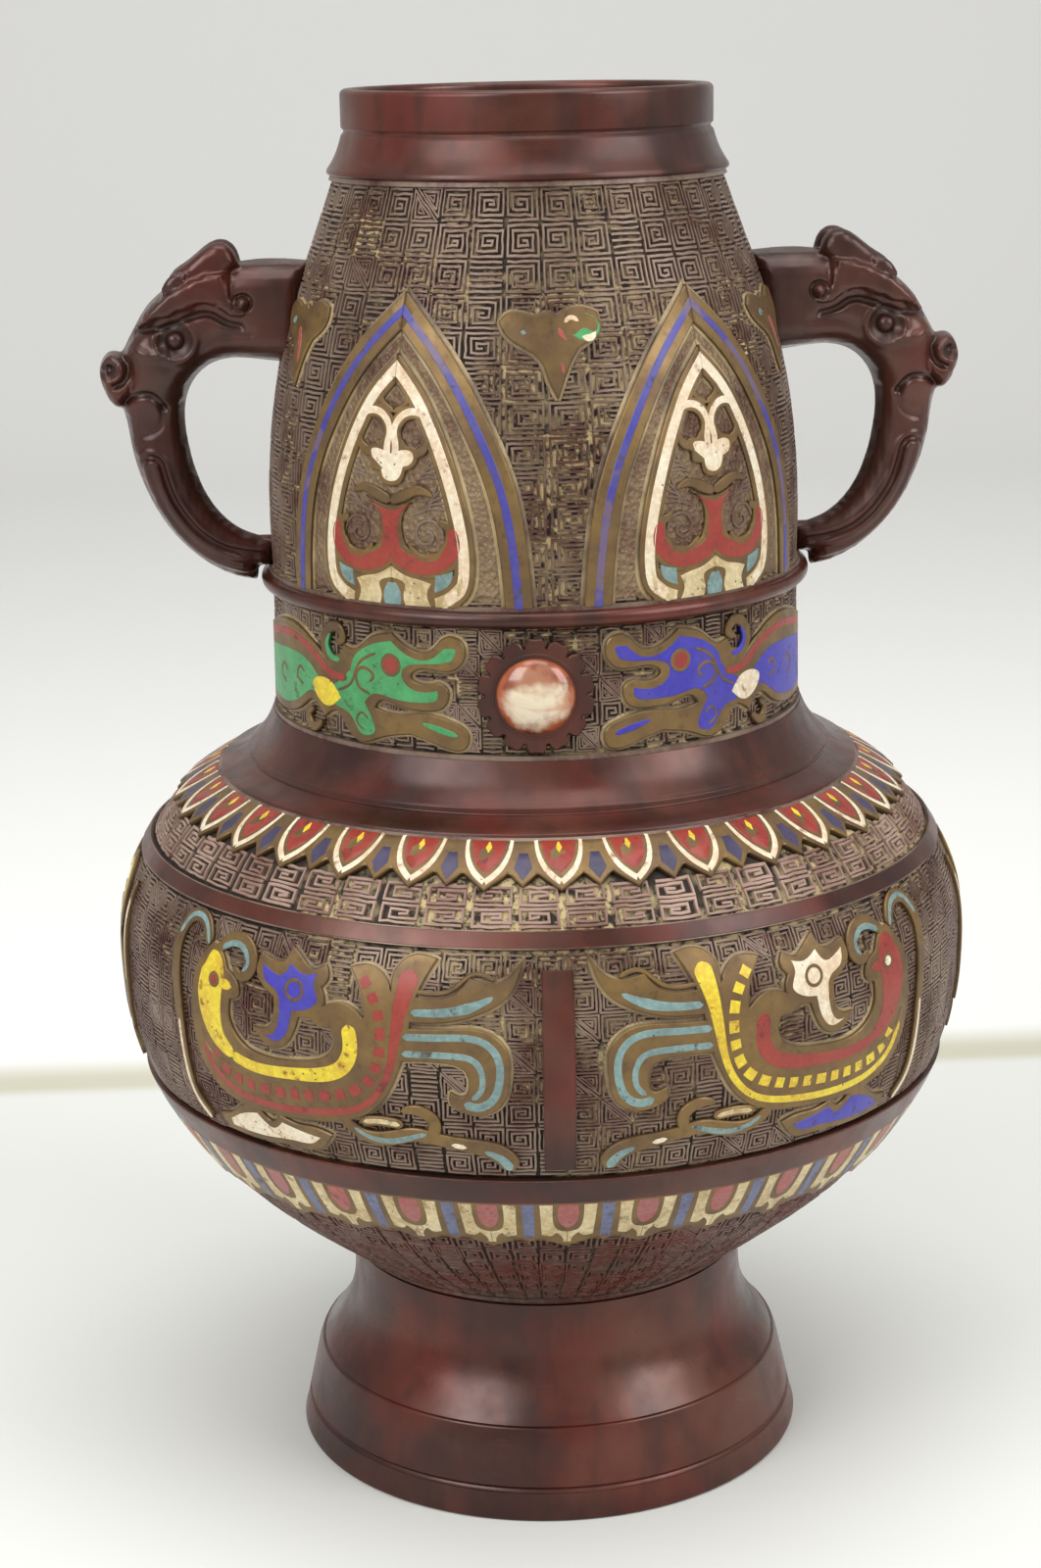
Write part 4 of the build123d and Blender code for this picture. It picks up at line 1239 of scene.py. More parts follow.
# Band: a dragon on each side of the stone, its tail running round to the handle.
def dragon(m, spot, body_colour, spots_colour):
    """A long-snouted dragon seen from the side; drawn facing left, x counted towards its tail."""
    m.metal(
        spot,
        [
            [(19.6, 197.4), (22.8, 194.6), (27.0, 195.2), (31.0, 198.0)],
            [(31.0, 198.0), (36.5, 196.6), (41.0, 193.6), (44.0, 194.0)],
            [(44.0, 194.0), (48.5, 189.4), (53.5, 192.2), (60.0, 195.6), (68.0, 196.2), (79.0, 193.6)],
            [(79.0, 193.6), (80.0, 176.6)],
            [(80.0, 176.6), (70.0, 175.8), (60.0, 178.2), (55.0, 180.6), (51.0, 177.6)],
            [(51.0, 177.6), (46.5, 179.4), (43.8, 176.4), (39.5, 174.0), (34.0, 175.6), (27.0, 177.0)],
            [
                (27.0, 177.0), (22.0, 175.6), (18.4, 174.4), (14.6, 174.9), (14.2, 178.2), (17.6, 180.4),
                (23.0, 181.6), (31.0, 181.0), (35.6, 181.8)
            ],
            [
                (35.6, 181.8), (34.0, 183.4), (29.0, 182.6), (24.0, 182.2), (19.0, 183.4), (18.4, 187.2),
                (20.6, 188.4)
            ],
            [
                (20.6, 188.4), (24.4, 187.9), (26.6, 189.2), (25.2, 190.6), (20.2, 190.8), (16.6, 191.2),
                (14.4, 194.4), (15.6, 197.6), (18.0, 198.2)
            ],
            [(18.0, 198.2), (19.6, 197.4)],
        ],
        grid=2.0
    )
    # Head and jaws.
    m.patch(
        body_colour, spot,
        [
            [(19.0, 195.6), (22.4, 193.1), (27.0, 193.6), (31.0, 196.4)],
            [(31.0, 196.4), (36.0, 195.2), (41.0, 191.8), (42.0, 189.2)],
            [(42.0, 189.2), (46.0, 186.0), (52.0, 183.2)],
            [
                (52.0, 183.2), (46.6, 180.8), (42.2, 179.2), (39.4, 175.8), (35.8, 176.6), (36.4, 179.6),
                (38.2, 182.6)
            ],
            [(38.2, 182.6), (36.0, 184.6), (31.0, 184.2), (24.0, 183.9), (20.6, 184.8), (20.4, 186.8)],
            [
                (20.4, 186.8), (24.8, 186.3), (28.2, 188.2), (28.4, 190.4), (25.6, 191.8), (20.6, 192.2),
                (17.4, 192.9)
            ],
            [(17.4, 192.9), (16.4, 195.4), (19.0, 195.6)],
        ],
        grid=1.8
    )
    # Trunk of the body, with its red stripe above.
    m.patch(
        body_colour, spot,
        [
            [(43.0, 185.2), (50.0, 184.8), (56.0, 188.6), (64.0, 190.0), (78.5, 188.8)],
            [(78.5, 188.8), (78.8, 178.4)],
            [(78.8, 178.4), (70.0, 177.6), (60.0, 180.2), (54.6, 182.6), (49.0, 180.6), (43.0, 185.2)],
        ],
        grid=2.0
    )
    m.patch(
        spots_colour, spot,
        [[(45.0, 182.6), (49.4, 180.2), (53.6, 182.2), (54.6, 184.8), (49.0, 186.0), (45.0, 182.6)]],
        top=enamel_top + 0.05
    )
    m.wire(
        spot, [(43.0, 187.4), (48.0, 187.8), (53.0, 191.0), (60.0, 193.6), (68.0, 193.8), (78.0, 192.0)],
        2.6, top=metal_top + 0.06
    )
    m.cell(
        "red", spot,
        [(43.6, 187.2), (48.4, 187.6), (53.4, 190.7), (60.0, 193.1), (68.0, 193.4), (78.0, 191.6)], 1.7,
        top=enamel_top + 0.07
    )
    # Wires laid in the enamel, and the eye.
    high = {"top": metal_top + 0.12, "bevel": 0.12}
    m.wire(
        spot, [(36.8, 184.8), (39.8, 186.0), (40.2, 188.8), (37.6, 190.0), (35.6, 188.4), (36.8, 187.2)],
        0.8, **high
    )
    m.wire(spot, [(34.8, 193.4), (39.6, 190.6), (41.8, 186.4), (46.0, 184.2)], 0.7, **high)
    m.wire(spot, [(58.6, 183.4), (61.4, 185.0), (60.2, 187.0), (58.0, 186.0)], 0.7, **high)
    m.wire(spot, [(68.0, 182.0), (70.8, 184.2), (69.0, 186.2), (66.8, 184.8)], 0.7, **high)
    m.wire(spot, [(38.4, 176.8), (40.6, 178.6), (39.2, 180.4), (37.4, 179.2)], 0.6, **high)
    m.disc("metal", spot, (31.2, 191.3), 2.5, top=metal_top + 0.14)
    m.disc("red", spot, (31.2, 191.3), 1.8, top=metal_top + 0.15)
    # Crest curl behind the head, and the scroll below the belly.
    m.wire(
        spot,
        [
            (44.2, 191.4), (48.2, 190.4), (50.2, 193.0), (49.0, 196.6), (45.6, 197.4), (44.4, 195.2),
            (46.4, 194.2)
        ],
        [2.4, 2.6, 2.6, 2.2, 1.6]
    )
    m.cell(
        body_colour, spot, [(45.0, 190.8), (48.0, 191.2), (49.2, 193.6), (48.0, 196.0)], [1.2, 1.3, 0.6],
        top=enamel_top + 0.04
    )
    m.wire(spot, [(52.0, 176.6), (56.0, 174.9), (57.2, 177.4), (55.0, 178.6)], [1.2, 2.2, 1.8, 1.2])
    m.cell(
        body_colour, spot, [(24.0, 179.6), (19.8, 178.4), (16.4, 177.4)], [0.8, 1.5, 1.1],
        top=enamel_top + 0.03
    )


# Belly: a long-tailed bird on each side of the bar, with hooks, scrolls and clouds.
def bird(m, spot, colours):
    outer_line, dash, inner_line, head, eye, comb, cloud_colour = colours
    m.metal(
        spot,
        [
            [
                (24.2, 140.6), (28.2, 133.0), (29.8, 124.5), (31.8, 117.5), (35.2, 111.0), (40.5, 106.6),
                (50.0, 104.2), (63.5, 103.2), (74.5, 104.7), (80.8, 109.6), (83.8, 117.0), (84.4, 124.0),
                (83.4, 131.0), (79.6, 136.6)
            ],
            [(79.6, 136.6), (76.2, 135.6), (73.6, 132.4)],
            [(73.6, 132.4), (70.0, 130.2), (69.6, 127.8), (72.2, 126.4)],
            [
                (72.2, 126.4), (72.2, 122.6), (69.8, 118.8), (66.0, 116.8), (60.0, 116.4), (53.0, 117.2),
                (47.4, 119.2), (45.6, 122.0), (46.2, 125.0)
            ],
            [(46.2, 125.0), (48.8, 125.2), (51.6, 127.2)],
            [(51.6, 127.2), (47.0, 130.0), (42.4, 130.4), (39.0, 128.0)],
            [(39.0, 128.0), (39.4, 132.0), (42.8, 137.8)],
            [(42.8, 137.8), (38.6, 138.6), (35.0, 136.8), (33.4, 134.0)],
            [(33.4, 134.0), (33.2, 137.8), (29.6, 141.0), (24.2, 140.6)],
        ],
        crown=0.0, grid=2.4
    )
    m.cell(
        outer_line, spot,
        [
            (29.4, 138.2), (31.2, 131.0), (32.4, 123.6), (34.6, 115.4), (39.8, 109.4), (48.0, 106.8),
            (61.0, 105.6), (72.5, 107.0), (78.0, 110.6), (80.6, 115.6)
        ],
        [4.4, 2.7, 1.7, 1.5, 1.6, 1.7, 1.7, 1.6, 1.5]
    )
    dashes(
        m, dash, spot,
        [
            (39.6, 136.0), (36.6, 131.4), (35.4, 126.0), (35.8, 120.4), (37.4, 116.0), (40.6, 113.0),
            (46.0, 110.9), (54.0, 109.6), (63.0, 109.0), (70.0, 109.6), (74.6, 111.4), (77.6, 114.6)
        ],
        2.3, 2.7, 0.75
    )
    m.cell(
        inner_line, spot,
        [
            (42.4, 126.4), (41.8, 121.4), (43.6, 117.4), (48.4, 115.0), (56.0, 113.9), (65.6, 113.4),
            (71.6, 114.6)
        ],
        [3.2, 3.4, 3.2, 2.7, 2.5, 2.5]
    )
    m.cell(
        head, spot,
        [(71.2, 114.5), (75.6, 117.6), (77.8, 122.4), (78.2, 127.6), (77.6, 132.4), (78.6, 135.2)],
        [2.6, 4.2, 6.2, 7.6, 7.4, 3.4]
    )
    m.cell(head, spot, [(74.6, 129.4), (71.6, 129.0)], [3.0, 1.2], top=enamel_top + 0.01)
    high = {"top": metal_top + 0.12, "bevel": 0.12}
    m.wire(spot, [(72.8, 112.4), (78.4, 113.6), (81.4, 118.4)], 0.8, **high)
    m.disc("metal", spot, (77.0, 129.6), 1.7, top=metal_top + 0.14)
    m.disc(eye, spot, (77.0, 129.6), 1.1, top=metal_top + 0.17)
    # Plume over the head and a comb-shaped flower in front of it.
    m.wire(
        spot, [(77.6, 135.4), (74.0, 138.4), (68.8, 137.8), (66.8, 134.0), (69.4, 131.6), (71.6, 133.2)],
        [2.4, 2.6, 2.6, 2.4, 1.6]
    )
    m.cell(
        "teal", spot, [(76.0, 136.2), (73.2, 137.6), (69.4, 136.9), (67.9, 134.2), (69.2, 132.8)],
        [1.2, 1.3, 1.2, 0.8]
    )
    m.metal(
        spot,
        [
            [(48.4, 137.6), (51.4, 136.4), (54.0, 137.8)], [(54.0, 137.8), (57.2, 140.0)],
            [(57.2, 140.0), (58.6, 136.8), (61.4, 136.6), (64.8, 137.4)],
            [(64.8, 137.4), (65.2, 133.4), (62.2, 130.6), (60.2, 129.6)],
            [(60.2, 129.6), (60.0, 125.6), (61.6, 122.8), (65.4, 122.2)],
            [(65.4, 122.2), (62.4, 119.2), (58.2, 119.0), (55.2, 122.4), (53.8, 126.2)],
            [(53.8, 126.2), (49.4, 127.2), (47.8, 130.4), (48.8, 133.0)],
            [(48.8, 133.0), (47.4, 135.0), (48.4, 137.6)],
        ]
    )
    m.patch(
        comb, spot,
        [
            [(50.0, 135.6), (53.0, 135.0), (56.6, 136.6)],
            [(56.6, 136.6), (58.6, 134.0), (60.6, 134.2), (63.6, 135.6)],
            [(63.6, 135.6), (62.6, 132.4), (59.6, 130.8), (58.6, 129.4)],
            [(58.6, 129.4), (58.6, 124.8), (60.4, 121.4), (62.6, 121.2)],
            [(62.6, 121.2), (59.0, 120.3), (56.4, 122.8), (55.2, 127.4)],
            [(55.2, 127.4), (51.2, 128.4), (49.4, 130.4), (50.4, 133.0), (50.0, 135.6)],
        ],
        grid=2.0
    )
    stroke(
        m["metal"], spot,
        [(55.0 + 2.0 * cos(t), 131.6 + 2.0 * sin(t)) for t in np.linspace(0, 2 * pi, 20)[:-1]], 0.8,
        closed=True, **high
    )
    # Loop line beyond the head, down to the seam.
    for points in (
        [
            (80.6, 136.0), (83.6, 139.8), (88.6, 140.2), (91.4, 136.0), (91.0, 128.0), (89.4, 118.0),
            (88.6, 108.0), (87.0, 100.6), (83.6, 96.6)
        ],
    ):
        m.wire(spot, points, [2.6, 2.8, 2.8, 2.4, 2.4, 2.8])
        m.cell("teal", spot, points[:4], [0.9, 1.2, 1.1])
        m.cell("white", spot, points[5:], [0.8, 1.1, 1.3])
    # Leaf, hook and vine towards the bar.
    m.metal(
        spot,
        [
            [(6.6, 141.2), (9.4, 137.8), (12.6, 136.6), (17.6, 137.4)],
            [(17.6, 137.4), (20.4, 134.4), (24.6, 133.2), (30.0, 133.4)], [(30.0, 133.4), (30.6, 128.2)],
            [(30.6, 128.2), (22.0, 128.6), (14.6, 130.8), (9.4, 134.4), (6.6, 141.2)]
        ]
    )
    m.cell("teal", spot, [(12.6, 133.8), (16.4, 132.0), (22.0, 130.6), (29.0, 130.2)], [1.0, 2.2, 1.8, 1.5])
    m.wire(spot, [(12.4, 137.0), (16.8, 138.0), (21.0, 135.0), (29.0, 134.4)], 0.9, top=metal_top + 0.05)
    m.metal(
        spot,
        [
            [
                (31.6, 126.9), (22.0, 127.3), (14.0, 127.0), (10.0, 123.4), (9.6, 116.6), (11.2, 111.6),
                (15.0, 109.4), (19.6, 110.2)
            ],
            [(19.6, 110.2), (21.4, 111.6), (21.4, 114.2)],
            [(21.4, 114.2), (18.6, 113.4), (17.6, 115.6), (18.4, 118.8), (21.0, 120.0), (32.0, 119.9)],
            [(32.0, 119.9), (31.6, 126.9)]
        ]
    )
    m.cell(
        "teal", spot,
        [
            (30.6, 125.2), (22.0, 125.6), (15.0, 125.1), (11.9, 122.0), (11.6, 116.4), (13.2, 112.6),
            (16.0, 111.2), (18.6, 111.9)
        ],
        [1.6, 1.6, 1.6, 1.7, 2.0]
    )
    m.cell(
        "teal", spot,
        [(30.8, 121.7), (20.4, 121.9), (16.4, 121.0), (14.9, 118.0), (15.4, 114.4), (17.0, 112.9)],
        [1.5, 1.5, 1.4, 1.2]
    )
    m.wire(
        spot,
        [
            (44.4, 106.0), (41.0, 103.0), (34.6, 102.6), (29.4, 104.0), (22.6, 103.0), (16.4, 102.0),
            (11.4, 100.0), (9.4, 96.8)
        ],
        [2.4, 2.8, 3.4, 3.2, 2.8, 3.2, 4.2, 4.6]
    )
    m.wire(spot, [(25.4, 104.0), (25.0, 107.4), (28.2, 109.6), (31.6, 109.2)], [2.6, 2.6, 2.4, 1.4])
    m.wire(spot, [(31.4, 106.0), (36.0, 106.4), (40.6, 105.8)], 2.2)
    m.cell("cream", spot, [(32.0, 106.1), (36.0, 106.5), (39.8, 106.0)], 1.2)
    m.cell(
        "teal", spot, [(42.0, 104.2), (38.4, 102.4), (33.6, 102.3), (29.4, 103.6), (26.6, 104.6)],
        [1.0, 1.3, 1.4, 1.0]
    )
    m.cell("white", spot, [(21.6, 102.5), (18.6, 102.0)], 1.2)
    m.cell("teal", spot, [(15.0, 101.2), (11.6, 99.4), (9.8, 96.9)], [1.0, 1.9, 2.3])
    # Cloud under the bird.
    cloud = [
        [(47.6, 101.4), (51.6, 102.4), (56.0, 102.4), (60.4, 103.6)],
        [(60.4, 103.6), (62.8, 101.6), (66.6, 104.4)],
        [(66.6, 104.4), (70.4, 103.8), (74.6, 100.8), (79.4, 99.4)], [(79.4, 99.4), (77.6, 95.9)],
        [(77.6, 95.9), (67.0, 95.7), (58.0, 96.4), (51.6, 97.0), (47.6, 101.4)]
    ]
    m.metal(spot, cloud)
    m.patch(
        cloud_colour, spot,
        [
            [(50.6, 100.2), (55.0, 100.9), (60.0, 102.0)], [(60.0, 102.0), (62.8, 100.0), (66.6, 102.6)],
            [(66.6, 102.6), (70.6, 101.6), (75.8, 98.9)], [(75.8, 98.9), (75.6, 97.3)],
            [(75.6, 97.3), (66.0, 97.2), (58.0, 98.0), (53.0, 98.4), (50.6, 100.2)]
        ]
    )


def side_mask(m, spot):
    """A symmetrical scroll panel under each handle."""
    for put in (spot, spot.mirrored):
        m.wire(
            put,
            [
                (0.0, 137.6), (5.4, 139.4), (10.6, 136.4), (11.6, 130.4), (8.2, 126.4), (4.4, 128.2),
                (5.4, 131.6)
            ],
            [3.6, 3.8, 4.0, 4.0, 3.4, 2.0]
        )
        m.cell(
            "yellow", put, [(1.2, 137.9), (5.4, 138.4), (9.6, 135.8), (10.4, 130.6), (8.0, 127.9)],
            [1.6, 1.9, 2.0, 1.4]
        )
        m.wire(
            put,
            [
                (4.0, 123.6), (10.0, 121.0), (15.6, 115.4), (14.0, 107.6), (7.8, 105.6), (5.6, 110.0),
                (9.4, 111.4)
            ],
            [3.0, 3.8, 4.2, 4.0, 3.4, 2.0]
        )
        m.cell(
            "teal", put, [(5.0, 122.8), (10.0, 119.8), (14.2, 114.8), (12.8, 108.9), (8.6, 107.4)],
            [1.2, 1.9, 2.2, 1.8, 1.2]
        )
        m.wire(put, [(2.4, 103.4), (8.0, 101.0), (14.4, 101.8), (20.0, 98.2)], [3.0, 3.2, 3.0, 1.2])
        m.cell("red", put, [(3.0, 102.8), (8.0, 100.9), (14.4, 101.6)], [1.2, 1.5, 1.0])
        m.wire(put, [(20.4, 138.6), (19.4, 128.0), (20.4, 116.0), (19.6, 104.6)], [1.4, 2.4, 2.4, 1.4])
        m.cell("white", put, [(20.2, 134.6), (19.7, 126.0), (20.3, 116.0)], [0.8, 1.1, 0.8])
    m.metal(
        spot,
        [
            [(0.0, 125.6), (3.6, 119.0)], [(3.6, 119.0), (0.0, 108.0)], [(0.0, 108.0), (-3.6, 119.0)],
            [(-3.6, 119.0), (0.0, 125.6)]
        ]
    )
    m.patch(
        "red", spot,
        [
            [(0.0, 123.4), (2.2, 118.8)], [(2.2, 118.8), (0.0, 111.6)], [(0.0, 111.6), (-2.2, 118.8)],
            [(-2.2, 118.8), (0.0, 123.4)]
        ]
    )


def mirrored_pair(put):
    """Gives a placer its mirror image about the same turn."""
    def other(flat, lift):
        return put(flat * (-1, 1), lift)
    other.hand = -put.hand
    other.mirrored = put
    put.mirrored = other
    return put


neck_motifs = Motif()
for half in (0, 180):
    for side_turn in (-34.5, 34.5):
        lappet(neck_motifs, mirrored_pair(neck_side.spot(half + side_turn + decoration_turn * 1.7)))
    trefoil(neck_motifs, mirrored_pair(neck_side.spot(half + decoration_turn * 1.7)), half == 0)
    for side_turn in (-68.0, 68.0):
        trefoil(neck_motifs, mirrored_pair(neck_side.spot(half + side_turn + decoration_turn)), False)
neck_motifs.make(
    "Neck_ornament",
    {
        "violet": ("lappet_enamel",), "white": ("medallion_enamel",), "red": ("fleur_enamel",),
        "green": ("trefoil_enamel",),
    }
)

band_motifs = Motif()
for half in (0, 180):
    turn = half - 3.2
    dragon(band_motifs, mirrored_pair(band_side.spot(turn, -1)), "green", "yellow")
    dragon(band_motifs, mirrored_pair(band_side.spot(turn, 1)), "blue", "white")
band_motifs.make("Band_ornament", {"green": ("left_dragon_enamel",), "blue": ("right_dragon_enamel",)})

belly_motifs = Motif()
for half in (0, 180):
    turn = half - 1.15
    left = mirrored_pair(body.spot(turn, -1))
    right = mirrored_pair(body.spot(turn, 1))
    bird(belly_motifs, left, ("red", "red", "yellow", "yellow", "red", "blue", "white"))
    bird(belly_motifs, right, ("yellow", "yellow", "red", "red", "white", "white", "blue"))
    side_mask(belly_motifs, mirrored_pair(body.spot(half + 90)))
    plate(
        belly_motifs["plain"], right,
        outline(
            [(-3.1, 96.6), (3.3, 96.6)], [(3.3, 96.6), (3.3, 138.8)], [(3.3, 138.8), (-3.1, 138.8)],
            [(-3.1, 138.8), (-3.1, 96.6)]
        ),
        top=-0.1, bevel=0.3
    )
belly_motifs.make(
    "Belly_ornament",
    {
        "red": ("left_bird_enamel",), "yellow": ("right_bird_enamel",), "white": ("left_cloud_enamel",),
        "blue": ("right_cloud_enamel",),
    }
)

# Shoulder: pointed petals with small dark points between them, on one toothed ring.
petals = Motif()
pitch = 360 / 33
n = 33 * 24
share = (np.arange(n) % 24) / 24
tip = np.where(share < 0.5, share, 1 - share) * 2          # 0 at a petal's middle, 1 half way to the next
teeth = np.where(tip < 0.62, 152.4 + 2.9 * tip / 0.62, 155.3 - 2.2 * (tip - 0.62) / 0.38)
petal_side = at_reference(body, 79.0)
ring_band(petals["metal"], body, teeth, np.full(n, shoulder_z - 0.25), rows=8)
for k in range(33):
    spot = mirrored_pair(petal_side.spot(k * pitch))
    for put in (spot, spot.mirrored):
        petals.cell(
            "white", put, [(0.1, 153.7), (3.0, 155.8), (4.6, 158.3), (4.9, 159.7)], [1.1, 1.15, 1.1, 0.9],
            round_ends=False
        )
    petals.patch(
        "red", spot,
        [
            [(0.0, 155.0), (2.4, 156.6), (3.6, 158.6), (3.8, 159.7)], [(3.8, 159.7), (-3.8, 159.7)],
            [(-3.8, 159.7), (-3.6, 158.6), (-2.4, 156.6), (0.0, 155.0)]
        ]
    )
    petals.cell("yellow", spot, [(0.0, 158.0), (0.0, 159.4)], [1.0, 1.9], top=enamel_top + 0.06)
    between_spot = petal_side.spot((k + 0.5) * pitch)
    petals.patch(
        "navy", between_spot,
        [
            [(0.0, 153.9), (1.9, 155.8)], [(1.9, 155.8), (1.0, 158.0)], [(1.0, 158.0), (-1.0, 158.0)],
            [(-1.0, 158.0), (-1.9, 155.8)], [(-1.9, 155.8), (0.0, 153.9)]
        ]
    )
petals.make("Shoulder_petals", {"white": ("petal_enamel",), "red": ("petal_core_enamel",)})

# Below the seam: cream tongues with red hearts between blue bars, on one scalloped ring.
tongues = Motif()
share = (np.arange(n) % 24) / 24
scallop = tongue_low + 0.9 * np.abs(np.sin(share * 2 * pi)) + 0.8 * np.cos(share * 2 * pi) * -1
tongue_side = at_reference(body, 86.5)
ring_band(tongues["metal"], body, scallop, np.full(n, tongue_top + 0.2), rows=8)
top_z, low_z = tongue_top - 0.25, tongue_low + 1.6
for k in range(33):
    spot = mirrored_pair(tongue_side.spot(k * pitch))
    tongues.patch(
        "slate", tongue_side.spot((k + 0.5) * pitch),
        [
            [(1.4, top_z), (1.2, low_z + 0.6)], [(1.2, low_z + 0.6), (-1.2, low_z + 0.6)],
            [(-1.2, low_z + 0.6), (-1.4, top_z)], [(-1.4, top_z), (1.4, top_z)]
        ]
    )
    tongues.patch(
        "rose", spot,
        [
            [(2.0, top_z), (1.9, top_z - 5.0), (0.0, top_z - 6.9), (-1.9, top_z - 5.0), (-2.0, top_z)],
            [(-2.0, top_z), (2.0, top_z)]
        ]
    )
    for put in (spot, spot.mirrored):
        tongues.patch(
            "cream", put,
            [
                [(3.1, top_z), (5.9, top_z)], [(5.9, top_z), (5.6, low_z + 1.6)],
                [(5.6, low_z + 1.6), (3.4, low_z + 1.2), (2.4, low_z + 2.2)],
                [(2.4, low_z + 2.2), (1.1, low_z + 0.6), (0.9, low_z - 0.8)],
                [(0.9, low_z - 0.8), (0.0, low_z - 0.8)], [(0.0, low_z - 0.8), (0.0, top_z - 8.0)],
                [(0.0, top_z - 8.0), (2.2, top_z - 7.2), (3.0, top_z - 5.2), (3.1, top_z)]
            ],
            grid=6.0
        )
tongues.make("Belly_tongues", {"cream": ("tongue_enamel",), "rose": ("tongue_core_enamel",)})


# ---------------------------------------------------------------- agate stones on their rosettes
stone_z = (band_z + bead_low) / 2
stone_radius = 8.1
rosette_top = 1.1


def rosette_outline():
    """Fourteen square-ended lobes with a notch between each pair."""
    points = []
    for k in range(14):
        for angle, radius in (
            (-12.0, 10.2), (-10.4, 11.2), (-6.4, 12.0), (0.0, 11.8), (6.4, 12.0), (10.4, 11.2),
            (12.0, 10.2)
        ):
            t = radians(angle + k * 360 / 14)
            points.append((radius * sin(t), stone_z + radius * cos(t)))
    return np.array(points)


for name, half in (("front", 0), ("back", 180)):
    spot = band_side.spot(half - 3.2 if half == 0 else half)
    b = Build()
    plate(b, spot, rosette_outline(), top=rosette_top, bottom=-1.9, bevel=0.3, grid=1.6)
    collar = [
        (
            (stone_radius + 0.5) * sin(t), stone_z + (stone_radius + 0.5) * cos(t)
        ) for t in np.linspace(0, 2 * pi, 72)[:-1]
    ]
    stroke(b, spot, collar, 0.9, top=rosette_top + 0.08, bottom=0.0, closed=True)
    b.make(f"Rosette_{name}", bronze_smooth, "setting", (f"rosette_{name}",), smooth="edges")
    dome = Build()
    rings, around = 22, 72
    turns = np.arange(around) * 2 * pi / around
    points, shades = [], []
    for i in range(rings + 1):
        out = sin(pi / 2 * i / rings)
        high = 3.05 * cos(pi / 2 * i / rings) ** 0.9 if i < rings else 0.0
        flat = np.column_stack(
            [
                (stone_radius - 0.05) * out * np.cos(turns),
                stone_z + (stone_radius - 0.05) * out * np.sin(turns)
            ]
        )
        points.append(spot(flat, rosette_top - 0.9 + high + 0.7 * (1 - i / rings)))
        shades.append(np.full(around, i / rings))
    points.append(spot(flat, -0.5))
    shades.append(np.full(around, 1.0))
    faces = []
    for i in range(rings + 1):
        for k in range(around):
            m = (k + 1) % around
            faces.append((i * around + k, (i + 1) * around + k, (i + 1) * around + m, i * around + m))
    faces.append(tuple((rings + 1) * around + k for k in range(around)))
    dome.add(np.vstack(points), faces, np.concatenate(shades))
    dome.make(f"Agate_{name}", stone, "agate", (f"stone_{name}",), smooth=True)


# ---------------------------------------------------------------- handles
def distance_to(path, points):
    """Shortest distance from each flat point to a path."""
    path = np.array(path, float)
    best = np.full(len(points), 1e9)
    for a, b in zip(path, path[1:]):
        span = b - a
        t = np.clip(((points - a) @ span) / max(span @ span, 1e-9), 0, 1)
        best = np.minimum(best, np.linalg.norm(points - (a + t[:, None] * span), axis=1))
    return best


def pillow(build, flat, half, rounding, centre=0.0, grid=1.4):
    """A closed form with a rounded edge all round, from its outline in side view."""
    flat = orient(np.array(flat, float))
    low, high = flat.min(0), flat.max(0)
    middle = np.array(
        [(x, z) for x in np.arange(low[0], high[0], grid) for z in np.arange(low[1], high[1], grid)]
    )
    middle = middle[inside(middle, flat)]
    middle = middle[np.linalg.norm(middle[:, None] - flat[None], axis=2).min(1) > grid * 0.35]
    inner = inward(flat, rounding * 0.22)
    inner = inner[inside(inner, flat)]
    cloud = [Vector(p) for p in np.vstack([flat, inner[::2], middle])]
    n = len(flat)
    points, _, faces, *_ = delaunay_2d_cdt(cloud, [(i, (i + 1) % n) for i in range(n)], [], 1, 1e-6)
    cap = np.array([tuple(p) for p in points])
    gap = distance_to(np.vstack([flat, flat[:1]]), cap)
    rise = np.sqrt(np.clip(1 - (1 - np.clip(gap / rounding, 0, 1)) ** 2, 0, 1))
    thick = half(cap) if callable(half) else np.full(len(cap), half)
    y = thick * rise
    rim = gap < 1e-6
    y[rim] = 0
    m = len(cap)
    partner = np.where(rim, np.arange(m), np.arange(m) + m)
    out = [tuple(reversed(face)) for face in faces]
    out += [tuple(int(partner[i]) for i in face) for face in faces]
    front = np.column_stack([cap[:, 0], centre + y, cap[:, 1]])
    back = np.column_stack([cap[:, 0], centre - y, cap[:, 1]])
    build.add(np.vstack([front, back]), out, 0.0)


def head_half(points):
    """Half the handle's breadth: full at the head, slimmer down the trunk."""
    share = np.clip((points[:, 1] - 236.0) / 12.0, 0, 1)
    root = np.clip((64.0 - points[:, 0]) / 8.0, 0, 1) * (points[:, 1] > 240)
    return 6.1 + (8.4 - 6.1) * share ** 2 * (3 - 2 * share) + 0.4 * root


